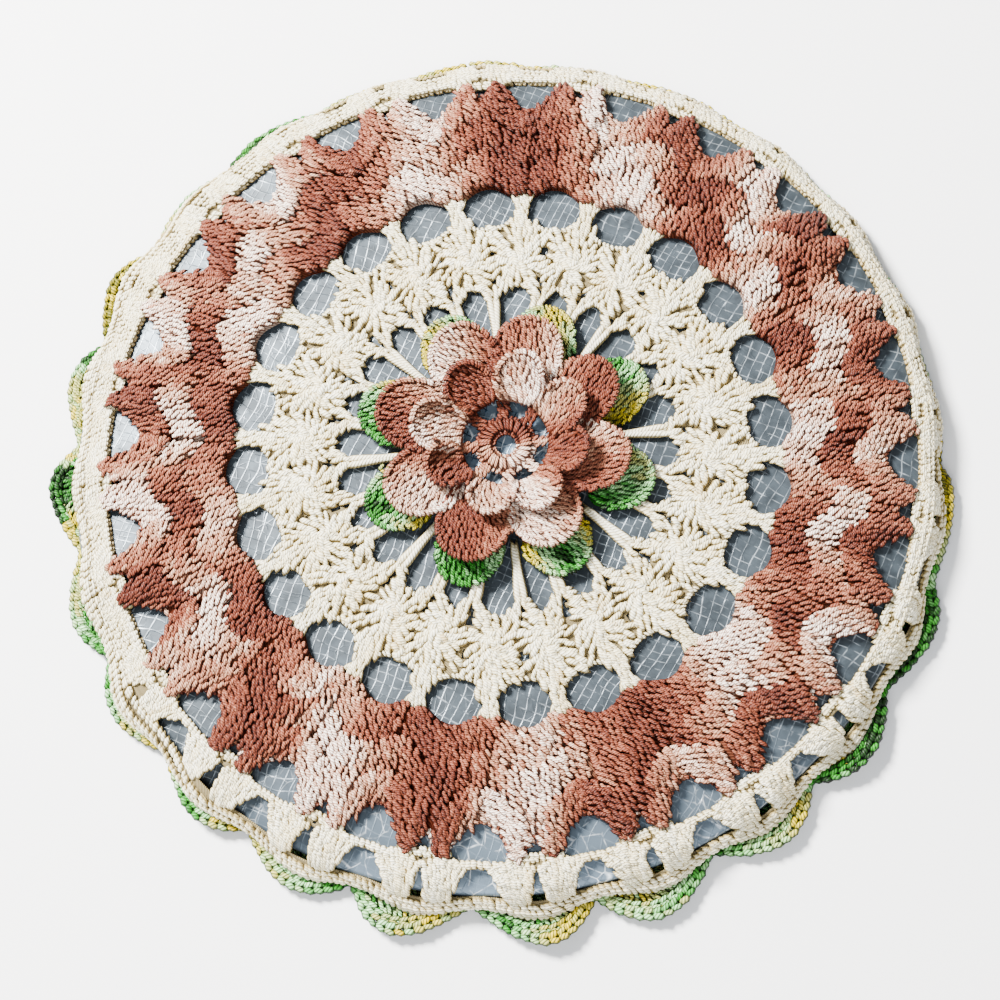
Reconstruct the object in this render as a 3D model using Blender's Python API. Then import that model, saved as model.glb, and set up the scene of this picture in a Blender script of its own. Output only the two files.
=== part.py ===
"""Crocheted cover with a raised rose, worked over a round foil-covered pad.

The pad lies flat on its brown crocheted back. The lace top lies on the pad: a cream
field around the rose, a brown ripple band with paired horns, and a cream border that
turns down over the pad's rim. A scalloped edging spreads out from under the border.
Sizes are in millimetres. A round of the lace has 24 cells, counted clockwise from +Y.
"""
import math

import bmesh
import bpy
from mathutils import Vector

MM = 0.001

# Driving dimensions
CELLS = 24              # repeats in every round of the lace
PETALS = 8              # petals in each ring of the rose
CLOTH = 1.6             # thickness of the worked cotton
GAP = 0.3               # air between pieces that touch on the real thing
PAD_RADIUS = 94.2
PAD_FLOOR = CLOTH + GAP
PAD_MIDDLE = 4.6        # height at which the pad is widest
PAD_TOP = 8.4
LACE_SHIFT = 2.4        # the lace sits this far towards +X from the pad's centre
BORDER_DROP = 2.6       # height of the border's lower edge
BACK_RADIUS = 92.2

# Field: cream lace from the rose out to the posts between the big holes
FIELD_INNER = 20.6
SPOKE_START = 23.5
SPOKE_END = 38.6
SPOKE_HALF = 1.4
ARCH_RISE = 1.2
HOLE_LOW = 52.0         # inner edge of a big hole
POST_FOOT = 56.7
POST_TIP = 58.2
FIELD_COLUMNS = (-0.36, -0.2, 0.0, 0.2, 0.36, 0.5)
SPOKE_STRIPS = (1, 2)   # strips of the cell that the spoke takes
POST_STRIPS = (4, 5)

# Ripple band: one row for each column of a cell, radii of the four edges of its rounds
RIPPLE_COLUMNS = (
    # place in cell, foot, first round, second round, horn or notch
    (-0.34, 59.6, 68.2, 75.6, 83.6),
    (-0.13, 61.8, 70.8, 78.3, 87.3),
    (0.03, 62.4, 71.4, 79.0, 85.6),
    (0.19, 61.8, 70.8, 78.3, 87.5),
    (0.40, 59.4, 67.6, 75.2, 83.6),
    (0.53, 59.2, 66.6, 74.6, 82.6),
)
SWELL = 0.7             # how far the band lifts at a usual peak
PROUD_PEAKS = {
    # cell: extra height of the folds that stand out
    0: 1.0, 1: 0.8, 2: 0.5, 4: 1.4, 8: 0.6, 9: 0.5, 11: 0.6, 15: 0.5, 17: 0.8, 19: 1.5, 20: 0.9,
}

# Border: cream, from the horns over the rim; shares of its width at each row
BORDER_INNER = 88.2
BORDER_COLUMNS = (-0.3, 0.0, 0.3, 0.5)
BORDER_ROWS = (0.0, 0.4, 0.6, 0.82, 1.0)
EYELET_BANDS = (1, 2)
EYELET_STRIPS = (2, 3)
EYELET_CURVE = 0.05     # how much taller an eyelet is in its middle, as a share of the width
BORDER_EASE = 0.35      # slack in the border as it turns over the rim

# Edging: scallops from under the border, longest towards cell 13
EDGING_INNER = 92.5
EDGING_TROUGH = 95.6
SCALLOP_REACH = 100.4
SCALLOP_LEAN = 3.6
LEAN_CELL = 13
EDGING_FLOOR = 0.35
SCALLOP_SLOPE = 0.12     # how far a scallop rises for each millimetre past the border
EDGING_COLUMNS = (-0.5, -0.33, -0.17, 0.0, 0.17, 0.33)

# Rose: centre ring, two rings of petals and a ring of leaves
EYE_HOLE = 2.4
EYE_RADIUS = 8.0
EYE_REACH = 12.4
EYE_FLOOR = 9.0
EYE_STRIPS = 3
PETAL_PITCH = 360 / PETALS
ROSE_TURN = 1.5         # cell on which the first petal is centred
DRAWN_IN = 0.04         # share by which a petal narrows towards its tip
SHAPE_NAMES = ("start", "end", "foot", "tip", "dome", "thick", "half_angle", "corner_drop")
SHAPE_ROWS = {
    # inner and outer radius, heights there, dome, thickness, half angle, fall of the corners
    "petal_inner": (11.6, 20.0, 12.9, 15.2, 0.6, 1.3, 21.6, 0.36),
    "petal_outer": (12.0, 27.6, 11.0, 13.0, 1.0, 1.3, 21.6, 0.38),
    "leaf": (21.0, 33.6, 10.65, 10.65, 0.0, 1.2, 21.0, 0.48),
}
PETAL_ACROSS = (-1.0, -0.7, -0.25, 0.25, 0.7, 1.0)
PETAL_ALONG = (0.0, 0.5, 1.0)

COLOURS = {
    "foil": (0.62, 0.63, 0.64),
    "cream": (0.86, 0.79, 0.65),
    "brown": (0.40, 0.20, 0.13),
    "tan": (0.60, 0.38, 0.27),
    "dark brown": (0.22, 0.11, 0.08),
    "green": (0.20, 0.38, 0.10),
}


def clear_scene():
    for thing in list(bpy.data.objects):
        bpy.data.objects.remove(thing, do_unlink=True)


def material(colour, roughness=0.9, metallic=0.0):
    name = colour.replace(" ", "_")
    found = bpy.data.materials.get(name)
    if found:
        return found
    made = bpy.data.materials.new(name)
    made.use_nodes = True
    shader = made.node_tree.nodes["Principled BSDF"]
    shader.inputs["Base Color"].default_value = (*COLOURS[colour], 1.0)
    shader.inputs["Roughness"].default_value = roughness
    shader.inputs["Metallic"].default_value = metallic
    return made


def finish_object(name, mesh_data, colour, roughness=0.9, metallic=0.0):
    """Turn edited mesh data into a named object with its material."""
    bmesh.ops.recalc_face_normals(mesh_data, faces=mesh_data.faces)
    mesh = bpy.data.meshes.new(name)
    mesh_data.to_mesh(mesh)
    mesh_data.free()
    mesh.shade_smooth()
    mesh.set_sharp_from_angle(angle=math.radians(40))
    mesh.materials.append(material(colour, roughness, metallic))
    made = bpy.data.objects.new(name, mesh)
    bpy.context.scene.collection.objects.link(made)
    return made


def sheet_solid(name, columns, rows, filled, place, colour, closed=True):
    """A closed solid over a grid of columns and rows.

    filled says which squares are cloth, so the rest are holes. place gives the corner of
    a column and a row on the sheet's lower side (0) or upper side (1), in millimetres.
    """
    mesh_data = bmesh.new()
    corners = {}

    def corner(column, row, side):
        key = (column % columns if closed else column, row, side)
        if key not in corners:
            corners[key] = mesh_data.verts.new(Vector(place(*key)) * MM)
        return corners[key]

    def is_cloth(column, row):
        if not 0 <= row < rows - 1:
            return False
        if closed:
            column %= columns
        elif not 0 <= column < columns - 1:
            return False
        return filled(column, row)

    for column in range(columns):
        for row in range(rows - 1):
            if not is_cloth(column, row):
                continue
            square = ((column, row), (column + 1, row), (column + 1, row + 1), (column, row + 1))
            beside = ((column, row - 1), (column + 1, row), (column, row + 1), (column - 1, row))
            mesh_data.faces.new([corner(*spot, 1) for spot in square])
            mesh_data.faces.new([corner(*spot, 0) for spot in reversed(square)])
            for edge, neighbour in enumerate(beside):
                if is_cloth(*neighbour):
                    continue
                here, there = square[edge], square[(edge + 1) % 4]
                wall = (corner(*here, 0), corner(*there, 0), corner(*there, 1), corner(*here, 1))
                mesh_data.faces.new(wall)
    return finish_object(name, mesh_data, colour)


def turned_solid(name, profile, steps, colour, roughness=0.9, metallic=0.0):
    """Spin a profile of (radius, height) that starts and ends on the axis."""
    mesh_data = bmesh.new()
    line = [mesh_data.verts.new(Vector((radius, 0, height)) * MM) for radius, height in profile]
    edges = [mesh_data.edges.new(pair) for pair in zip(line, line[1:])]
    bmesh.ops.spin(
        mesh_data, geom=line + edges, cent=(0, 0, 0), axis=(0, 0, 1),
        angle=2 * math.pi, steps=steps, use_merge=True,
    )
    bmesh.ops.remove_doubles(mesh_data, verts=mesh_data.verts, dist=1e-6)
    return finish_object(name, mesh_data, colour, roughness, metallic)


def cell_angle(cell):
    """Angle, from +X, of a place in the round counted in cells clockwise from +Y."""
    return math.pi / 2 - cell * 2 * math.pi / CELLS


def pad_height(radius):
    """Height of the pad's gently domed top at a distance from the pad's centre."""
    share = min(radius / PAD_RADIUS, 1.0)
    return PAD_MIDDLE + (PAD_TOP - PAD_MIDDLE) * (1 - share ** 4) ** 0.25


def from_lace(cell, radius):
    """Plan position of a point given around the lace's centre."""
    angle = cell_angle(cell)
    return LACE_SHIFT + radius * math.cos(angle), radius * math.sin(angle)


def on_pad(cell, radius, side, lift=0.0):
    """A corner of cloth that lies on the pad, given around the lace's centre."""
    x, y = from_lace(cell, radius)
    return x, y, pad_height(math.hypot(x, y)) + GAP + lift + side * CLOTH


def rim_path():
    """The pad's section from near its rim over the edge: (length, radius, height, normal)."""
    rise = PAD_TOP - PAD_MIDDLE
    path = []
    for step in range(181):
        turn = math.radians(50 + 40 * step / 180)
        across, up = math.sin(turn) ** 0.5, max(math.cos(turn), 0.0) ** 0.5
        normal = Vector((across ** 3 / PAD_RADIUS, up ** 3 / rise)).normalized()
        path.append((PAD_RADIUS * across, PAD_MIDDLE + rise * up, normal))
    path.append((PAD_RADIUS, BORDER_DROP, Vector((1.0, 0.0))))
    length = 0.0
    measured = []
    for number, (radius, height, normal) in enumerate(path):
        if number:
            length += math.dist((radius, height), path[number - 1][:2])
        measured.append((length, radius, height, normal))
    return measured


RIM = rim_path()


def rim_length_at(radius):
    """Length along the rim path at which it reaches a radius."""
    for (start, low, *_), (end, high, *_) in zip(RIM, RIM[1:]):
        if high >= radius:
            return start + (end - start) * (radius - low) / (high - low)
    return RIM[-1][0]


def rim_point(length, offset):
    """Radius and height at a length along the rim path, lifted off the pad by offset."""
    for (start, r0, z0, n0), (end, r1, z1, n1) in zip(RIM, RIM[1:]):
        if end >= length:
            break
    share = (length - start) / (end - start)
    normal = n0.lerp(n1, min(share, 1.0)).normalized()
    return r0 + (r1 - r0) * share + normal.x * offset, z0 + (z1 - z0) * share + normal.y * offset


def make_pad():
    """The stiff pad: domed top, rounded rim and flat underside."""
    rounding = 3.5
    top = [PAD_RADIUS * share for share in (0.0, 0.45, 0.7, 0.84, 0.92, 0.965, 0.99)]
    profile = [(radius, pad_height(radius)) for radius in top]
    profile.append((PAD_RADIUS, PAD_MIDDLE))
    for degrees in (30, 60, 90):
        turn = math.radians(degrees)
        radius = PAD_RADIUS - rounding * (1 - math.cos(turn))
        profile.append((radius, PAD_MIDDLE - (PAD_MIDDLE - PAD_FLOOR) * math.sin(turn)))
    profile.append((0.0, PAD_FLOOR))
    turned_solid("foil_pad", profile, 72, "foil", roughness=0.35, metallic=1.0)


def make_back():
    """The brown crocheted back, flat on the surface that the pot holder lies on."""
    profile = [(0.0, CLOTH), (BACK_RADIUS, CLOTH), (BACK_RADIUS, 0.0), (0.0, 0.0)]
    turned_solid("back_cover", profile, 72, "dark brown")


def make_field():
    """Cream lace: spokes at whole cells, shells outside them, posts at half cells."""
    across = len(FIELD_COLUMNS)

    def place(column, row, side):
        cell, strip = divmod(column, across)
        offset = FIELD_COLUMNS[strip]
        from_spoke = abs(offset)
        arch = (SPOKE_START, SPOKE_END + ARCH_RISE * (from_spoke > 0.3))
        hole = HOLE_LOW + (POST_FOOT - HOLE_LOW) * (2 * from_spoke) ** 2.2
        radius = (FIELD_INNER, arch[0], arch[1], hole, POST_TIP)[row]
        if strip in (1, 3) and row < 3:
            pitch = 2 * math.pi * radius / CELLS
            offset = math.copysign(SPOKE_HALF / pitch, offset)
        return on_pad(cell + offset, radius, side)

    def filled(column, row):
        strip = column % across
        if row == 1:
            return strip in SPOKE_STRIPS
        if row == 3:
            return strip in POST_STRIPS
        return True

    sheet_solid("field", CELLS * across, 5, filled, place, "cream")


def make_ripple():
    """Brown ripple band: arches over the holes, and a pair of horns at each peak."""
    across = len(RIPPLE_COLUMNS)

    def place(column, row, side):
        cell, strip = divmod(column, across)
        offset, *radii = RIPPLE_COLUMNS[strip]
        nearest = round(cell + offset) % CELLS
        swell = SWELL + PROUD_PEAKS.get(nearest, 0.0)
        lift = swell * math.cos(math.pi * offset) ** 2 * (0.0, 0.6, 1.0, 0.5)[row]
        return on_pad(cell + offset, radii[row], side, lift)

    sheet_solid("ripple_band", CELLS * across, 4, lambda column, row: True, place, "brown")


def make_border():
    """Cream border from the horns down over the rim, with an eyelet at each half cell."""
    across = len(BORDER_COLUMNS)
    last = RIM[-1][0]
    clearance = GAP + BORDER_EASE

    def place(column, row, side):
        cell, strip = divmod(column, across)
        offset = BORDER_COLUMNS[strip]
        x, y = from_lace(cell + offset, BORDER_INNER)
        start = rim_length_at(math.hypot(x, y))
        share = BORDER_ROWS[row]
        if offset == 0.5 and row in (EYELET_BANDS[0], EYELET_BANDS[1] + 1):
            share += EYELET_CURVE * (-1 if row == EYELET_BANDS[0] else 1)
        radius, height = rim_point(start + (last - start) * share, clearance + side * CLOTH)
        angle = math.atan2(y, x)
        return radius * math.cos(angle), radius * math.sin(angle), height

    def filled(column, row):
        return not (row in EYELET_BANDS and column % across in EYELET_STRIPS)

    sheet_solid("border", CELLS * across, len(BORDER_ROWS), filled, place, "cream")


def make_edging():
    """Scalloped edging, joined to the back's rim and spread out under the border."""
    across = len(EDGING_COLUMNS)

    def place(column, row, side):
        cell, strip = divmod(column, across)
        offset = EDGING_COLUMNS[strip]
        angle = cell_angle(cell + offset)
        reach = SCALLOP_REACH + SCALLOP_LEAN * math.cos(2 * math.pi * (cell - LEAN_CELL) / CELLS)
        lobe = math.cos(math.pi * offset) ** 0.7 if abs(offset) < 0.5 else 0.0
        radius = EDGING_INNER if row == 0 else EDGING_TROUGH + (reach - EDGING_TROUGH) * lobe
        past_border = max(radius - PAD_RADIUS - 2 * CLOTH, 0.0)
        height = EDGING_FLOOR + side * CLOTH + SCALLOP_SLOPE * past_border
        return radius * math.cos(angle), radius * math.sin(angle), height

    sheet_solid("edging", CELLS * across, 2, lambda column, row: True, place, "green")


def make_eye():
    """The rose's centre ring, with a short bar to the foot of each petal."""
    half_bar = 0.16
    columns = (-half_bar, half_bar, 0.5)

    def place(column, row, side):
        petal, strip = divmod(column, EYE_STRIPS)
        turn = math.radians((petal + columns[strip] + 0.5) * PETAL_PITCH)
        radius = (EYE_HOLE, EYE_RADIUS, EYE_REACH)[row]
        if row == 2:
            turn = math.radians((petal + columns[strip] * EYE_RADIUS / EYE_REACH + 0.5) * PETAL_PITCH)
        x, y = LACE_SHIFT + radius * math.cos(turn), radius * math.sin(turn)
        return x, y, EYE_FLOOR + side * CLOTH

    def filled(column, row):
        return row == 0 or column % EYE_STRIPS == 0

    sheet_solid("rose_eye", PETALS * EYE_STRIPS, 3, filled, place, "tan")


def make_petal(name, number, shape, colour):
    """One rounded petal or leaf of a ring, domed across and raised at its tip."""
    middle = cell_angle(ROSE_TURN + number * CELLS / PETALS)

    def place(column, row, side):
        across, along = PETAL_ACROSS[column], PETAL_ALONG[row]
        narrowing = 1 - DRAWN_IN * along ** 2
        angle = middle + math.radians(shape["half_angle"]) * across * narrowing
        length = shape["end"] - shape["start"]
        edge = shape["end"] - length * shape["corner_drop"] * abs(across) ** 2.6
        radius = shape["start"] + (edge - shape["start"]) * along
        share = (radius - shape["start"]) / (shape["end"] - shape["start"])
        height = shape["foot"] + (shape["tip"] - shape["foot"]) * share
        height += shape["dome"] * (1 - across ** 2) * math.sin(math.pi * 0.7 * along)
        x, y = LACE_SHIFT + radius * math.cos(angle), radius * math.sin(angle)
        return x, y, height + side * shape["thick"]

    sheet_solid(
        name, len(PETAL_ACROSS), len(PETAL_ALONG), lambda column, row: True, place, colour, closed=False,
    )


def make_rose():
    make_eye()
    colours = {"petal_inner": "tan", "petal_outer": "brown", "leaf": "green"}
    for kind, row in SHAPE_ROWS.items():
        shape = dict(zip(SHAPE_NAMES, row))
        for number in range(PETALS):
            make_petal(f"{kind}_{number + 1}", number, shape, colours[kind])


clear_scene()
make_back()
make_pad()
make_field()
make_ripple()
make_border()
make_edging()
make_rose()
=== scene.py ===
# %% [markdown]
# # A crocheted pot holder over a foil-covered pad
#
# The construction is already packed: a stiff pad, a back, and every crocheted round as a
# plain sheet. This notebook gives them their looks. All crochet is made of short
# lengths of thread, modelled once, then copied and bent into every stitch.
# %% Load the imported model
import math

import bmesh
import bpy
import numpy as np
from mathutils import Matrix, Vector


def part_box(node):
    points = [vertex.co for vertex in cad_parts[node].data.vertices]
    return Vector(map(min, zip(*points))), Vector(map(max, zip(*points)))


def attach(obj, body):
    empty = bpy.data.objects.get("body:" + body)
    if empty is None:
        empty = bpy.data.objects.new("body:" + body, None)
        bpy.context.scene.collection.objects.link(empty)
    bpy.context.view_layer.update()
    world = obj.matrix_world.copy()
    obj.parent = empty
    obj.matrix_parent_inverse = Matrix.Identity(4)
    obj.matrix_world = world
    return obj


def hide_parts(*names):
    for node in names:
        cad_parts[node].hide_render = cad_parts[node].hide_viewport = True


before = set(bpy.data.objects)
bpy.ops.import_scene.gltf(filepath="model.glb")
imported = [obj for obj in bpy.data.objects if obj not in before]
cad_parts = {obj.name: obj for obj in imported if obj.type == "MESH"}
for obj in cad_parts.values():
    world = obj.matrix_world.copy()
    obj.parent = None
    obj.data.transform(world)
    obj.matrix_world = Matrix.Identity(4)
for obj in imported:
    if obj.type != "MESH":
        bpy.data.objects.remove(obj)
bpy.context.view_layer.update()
MM = 0.001
FULL_TURN = 2 * math.pi
random = np.random.default_rng(24)
print("packed nodes:", len(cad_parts))

# %% [markdown]
# ## Sizes read from the frame
#
# The lace has 24 repeats in every round, which are called cells here and are counted
# clockwise from the top. A place in the lace is a cell number with a fraction, and a
# radius around the lace's own centre, which lies a little to the right of the pad's.
# %% Driving sizes, in millimetres
CELLS = 24
UNIT_CELLS = np.arange(CELLS)


def corners(node):
    """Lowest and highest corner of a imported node."""
    return [np.array(corner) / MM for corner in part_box(node)]


pad_low, pad_high = corners("foil_pad")
field_low, field_high = corners("field")
back_high = corners("back_cover")[1]
PAD_RADIUS = (pad_high[0] - pad_low[0]) / 2
PAD_TOP, PAD_FLOOR, PAD_MIDDLE = pad_high[2], pad_low[2], 4.6
LACE_SHIFT = (field_low[0] + field_high[0]) / 2
GAP = PAD_FLOOR - back_high[2]
BORDER_LOW = corners("border")[0][2]
THREAD = 1.06
print(f"pad {2 * PAD_RADIUS:.1f} mm across, top at {PAD_TOP:.1f} mm, lace shifted {LACE_SHIFT:.1f} mm")


# %% [markdown]
# ## Places on the pad
#
# The lace lies on the pad's domed top and turns down over its rim, so each stitch asks
# these two functions where it is. They work on whole arrays of places at once.
# %% Find points on the pad and over its rim
def cell_angle(cell):
    return math.pi / 2 - np.asarray(cell, float) * FULL_TURN / CELLS


def pad_height(radius):
    share = np.minimum(np.asarray(radius, float) / PAD_RADIUS, 1.0)
    return PAD_MIDDLE + (PAD_TOP - PAD_MIDDLE) * (1 - share**4) ** 0.25


def on_pad(cell, radius, lift):
    """Points over the pad's top, a given height above the foil."""
    angle = cell_angle(cell)
    x = LACE_SHIFT + radius * np.cos(angle)
    y = radius * np.sin(angle)
    return np.stack([x, y, pad_height(np.hypot(x, y)) + GAP + lift], axis=-1)


def rim_section():
    """The pad's section near its rim: length along it, radius, height and normal."""
    turn = np.radians(np.linspace(50, 90, 181))
    across, up = np.sin(turn) ** 0.5, np.maximum(np.cos(turn), 0) ** 0.5
    radius = np.append(PAD_RADIUS * across, PAD_RADIUS)
    height = np.append(PAD_MIDDLE + (PAD_TOP - PAD_MIDDLE) * up, BORDER_LOW)
    out = np.append(across**3 / PAD_RADIUS, 1.0)
    lift = np.append(up**3 / (PAD_TOP - PAD_MIDDLE), 0.0)
    size = np.hypot(out, lift)
    length = np.append(0, np.cumsum(np.hypot(np.diff(radius), np.diff(height))))
    return length, radius, height, out / size, lift / size


RIM_LENGTH, RIM_RADIUS, RIM_HEIGHT, RIM_OUT, RIM_UP = rim_section()
BORDER_INNER = 88.2
BORDER_FLARE, BORDER_DRAWN = 4.0, 0.38
BORDER_WAVE, WAVE_START = 1.1, 0.04


def on_rim(cell, share, lift):
    """Points on the border: share runs from the horns (0) over the rim to its edge (1).

    The edge is drawn in on the left and stands away from the rim at the bottom.
    """
    angle = cell_angle(cell)
    x, y = LACE_SHIFT + BORDER_INNER * np.cos(angle), BORDER_INNER * np.sin(angle)
    start = np.interp(np.hypot(x, y), RIM_RADIUS[:-1], RIM_LENGTH[:-1])
    drawn = 1 - BORDER_DRAWN * np.maximum(-np.cos(angle), 0) ** 4
    length = start + (RIM_LENGTH[-1] - start) * drawn * share
    wave = BORDER_WAVE * np.cos(FULL_TURN * (cell - WAVE_START))
    flare = BORDER_FLARE * np.maximum(-np.sin(angle), 0) + wave
    away = GAP + flare * share**2 + lift
    radius = np.interp(length, RIM_LENGTH, RIM_RADIUS) + away * np.interp(length, RIM_LENGTH, RIM_OUT)
    height = np.interp(length, RIM_LENGTH, RIM_HEIGHT) + away * np.interp(length, RIM_LENGTH, RIM_UP)
    turn = np.arctan2(y, x)
    return np.stack([radius * np.cos(turn), radius * np.sin(turn), height], axis=-1)


print("a horn's tip is at", np.round(on_pad(13.2, 88.0, 0.0), 1))


# %% [markdown]
# ## Colours of the thread
#
# The brown and the green thread are space-dyed: the colour changes along the thread and
# comes round again. Each strand stores one number, its dye, and a colour ramp in the
# material turns that number into a colour. A second number, ply, runs along and round
# the strand and draws the twist of the thread, with painted shade in its grooves. A third
# number, highest on the strand's top, lets the material paint the top lighter, a painted
# highlight, and the sides darker, painted shade.
# %% Turn web colours into Blender's
def colour(web, shade=1.0):
    parts = [int(web[k : k + 2], 16) / 255 for k in (1, 3, 5)]
    linear = [part / 12.92 if part < 0.04045 else ((part + 0.055) / 1.055) ** 2.4 for part in parts]
    return (*[part * shade for part in linear], 1.0)


BROWN_DYES = (
    # dye, colour
    (0.00, "#542416"),
    (0.22, "#723a26"),
    (0.45, "#945c44"),
    (0.65, "#b68a6e"),
    (0.82, "#d8bca6"),
    (1.00, "#f2e6d8"),
)
GREEN_DYES = (
    (0.00, "#0f2c07"),
    (0.20, "#2e8420"),
    (0.40, "#a4d59a"),
    (0.58, "#a8ab6a"),
    (0.80, "#d4b600"),
    (1.00, "#6a640c"),
)
CREAM_DYES = ((0.0, "#cbb484"), (0.5, "#e8dfbc"), (1.0, "#f4f1dd"))


# %% Helpers that add nodes to a material
def new_material(name, roughness):
    """A material, its node tree and its shader."""
    made = bpy.data.materials.new(name)
    made.use_nodes = True
    shader = made.node_tree.nodes["Principled BSDF"]
    shader.inputs["Roughness"].default_value = roughness
    return made, made.node_tree, shader


def add_node(tree, kind, output, inputs, **settings):
    """Add a node, link or set its inputs, and return one of its outputs."""
    added = tree.nodes.new("ShaderNode" + kind)
    for label, value in settings.items():
        setattr(added, label, value)
    for label, value in inputs.items():
        if isinstance(value, bpy.types.NodeSocket):
            tree.links.new(value, added.inputs[label])
        else:
            added.inputs[label].default_value = value
    return added.outputs[output]


def calculate(tree, operation, first, second):
    return add_node(tree, "Math", 0, {0: first, 1: second}, operation=operation)


def ranged(tree, value, start, end, first=0.0, last=1.0, smooth=False):
    """Turn the range from start to end into the range from first to last."""
    inputs = {"Value": value, "From Min": start, "From Max": end, "To Min": first, "To Max": last}
    return add_node(tree, "MapRange", 0, inputs, interpolation_type="SMOOTHSTEP" if smooth else "LINEAR")


def mixed(tree, factor, first, second, **settings):
    """Mix two colours."""
    return add_node(tree, "Mix", 2, {0: factor, 6: first, 7: second}, data_type="RGBA", **settings)


def noise(tree, place, scale, detail=2.0, output="Fac"):
    return add_node(tree, "TexNoise", output, {"Vector": place, "Scale": scale, "Detail": detail})


def raise_bump(tree, shader, height, strength, distance):
    inputs = {"Strength": strength, "Distance": distance, "Height": height}
    tree.links.new(add_node(tree, "Bump", 0, inputs), shader.inputs["Normal"])


# %% Build a thread material from a list of dyes
FIBRE_SCALE = 1400
GROOVE_WIDTH, GROOVE_DEPTH = 0.36, 0.16


def thread_material(name, dyes, painted_shade_colour, shade=1.0, painted_highlight=1.3, gloss=0.22):
    """dyes is a colour ramp and shade darkens it all over, as painted shade for a ground; gap is painted
    shade on a strand's sides and in its grooves, and crest a painted highlight on its top.
    """
    made, tree, shader = new_material(name, 0.5)
    shader.inputs["Specular IOR Level"].default_value = gloss
    dye, painted_light_crown, ply = (
        add_node(tree, "Attribute", "Fac", {}, attribute_name=label) for label in ("dye", "painted_light_crown", "ply")
    )
    ramp = tree.nodes.new("ShaderNodeValToRGB")
    stops = ramp.color_ramp.elements
    while len(stops) < len(dyes):
        stops.new(0.5)
    for stop, (place, web) in zip(stops, dyes):
        stop.position = place
        stop.color = colour(web, shade)
    tree.links.new(dye, ramp.inputs["Fac"])

    # Painted highlight on a strand's top and painted shade on its sides; the grooves of the twist get
    # painted shade as well.
    top = ranged(tree, painted_light_crown, 0.3, 1.0, smooth=True)
    tint = mixed(tree, top, colour(painted_shade_colour), (painted_highlight, painted_highlight, painted_highlight, 1))
    groove = ranged(tree, calculate(tree, "PINGPONG", ply, 0.5), 0.0, GROOVE_WIDTH, smooth=True)
    painted_groove_shade = (*[part**0.6 for part in colour(painted_shade_colour)[:3]], 1)
    twist = mixed(tree, groove, painted_groove_shade, (1, 1, 1, 1))
    place = add_node(tree, "TexCoord", "Object", {})
    fuzz = ranged(tree, noise(tree, place, FIBRE_SCALE, 3), 0.0, 1.0, 0.8, 1.12)
    tone = ramp.outputs["Color"]
    for layer in (tint, twist, fuzz):
        tone = mixed(tree, 1.0, tone, layer, blend_type="MULTIPLY")
    tree.links.new(tone, shader.inputs["Base Color"])
    raise_bump(tree, shader, calculate(tree, "MULTIPLY", groove, fuzz), 0.9, GROOVE_DEPTH * MM)
    return made


COTTONS = {
    # dyes, painted shade on a strand's sides and between strands, painted highlight on a strand's top,
    # painted shade of the ground below
    "brown_cotton": (BROWN_DYES, "#8a6252", 1.34, 0.70),
    "green_cotton": (GREEN_DYES, "#4c602e", 1.30, 0.70),
    "cream_cotton": (CREAM_DYES, "#bcae8a", 1.12, 0.42),
}
threads, grounds = {}, {}
for slot, (dyes, painted_shade_colour, painted_highlight, shade) in COTTONS.items():
    name = slot.split("_")[0]
    threads[slot] = thread_material(f"{name} thread", dyes, painted_shade_colour, painted_highlight=painted_highlight)
    # The ground material is the thread's, darkened all over: painted shade between the strands.
    grounds[slot] = thread_material(f"{name} painted shade between stitches", dyes, painted_shade_colour, shade, gloss=0.03)
print("cottons:", list(threads))


# %% [markdown]
# ## One length of thread
#
# Crochet is one thread pulled into loops. What the eye sees of a stitch is two rows of
# short, fat, slanted grains, as on an ear of wheat. A grain is modelled once as a
# six-sided cylinder with a point at each end, few enough faces to be copied thousands
# of times. Two longer strands with more cuts can be bent further.
# %% Model a grain and two longer strands
STRAND_SIDES = 6


def deselect_all():
    if bpy.context.object and bpy.context.object.mode != "OBJECT":
        bpy.ops.object.mode_set(mode="OBJECT")
    bpy.ops.object.select_all(action="DESELECT")


def edit_whole(operation, **settings):
    """Run one operation on the whole of the active mesh."""
    bpy.ops.object.mode_set(mode="EDIT")
    bpy.ops.mesh.select_all(action="SELECT")
    operation(**settings)
    bpy.ops.object.mode_set(mode="OBJECT")


def select_where(mesh, kind, chosen):
    """In edit mode, select only the verts, edges or faces that pass a test."""
    bpy.ops.mesh.select_mode(type=kind[:-1].upper())
    bpy.ops.mesh.select_all(action="DESELECT")
    mesh_data = bmesh.from_edit_mesh(mesh)
    for element in getattr(mesh_data, kind):
        element.select_set(bool(chosen(element)))
    bmesh.update_edit_mesh(mesh)


def model_strand(name, cuts, taper, tip):
    """A strand of unit length along Z and unit radius: its points and its triangles."""
    deselect_all()
    bpy.ops.mesh.primitive_cylinder_add(
        vertices=STRAND_SIDES, radius=1, depth=1 - 2 * tip, end_fill_type="TRIFAN"
    )
    strand = bpy.context.object
    strand.name = name
    mesh = strand.data
    end = 0.49 - tip
    bpy.ops.object.mode_set(mode="EDIT")
    select_where(mesh, "edges", lambda edge: abs(edge.verts[0].co.z - edge.verts[1].co.z) > 0.4)
    if cuts > 0:
        bpy.ops.mesh.subdivide(number_cuts=cuts)
    for side in (-1, 1):
        select_where(mesh, "verts", lambda point: point.co.z * side > end)
        bpy.ops.transform.resize(value=(taper, taper, 1))
        select_where(mesh, "verts", lambda point: point.co.z * side > end and point.co.xy.length < 0.01)
        bpy.ops.transform.translate(value=(0, 0, side * tip))
    bpy.ops.object.mode_set(mode="OBJECT")
    mesh.calc_loop_triangles()
    points = np.array([point.co for point in mesh.vertices])
    triangles = np.array([tuple(triangle.vertices) for triangle in mesh.loop_triangles])
    bpy.data.objects.remove(strand, do_unlink=True)
    return points, triangles


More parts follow.
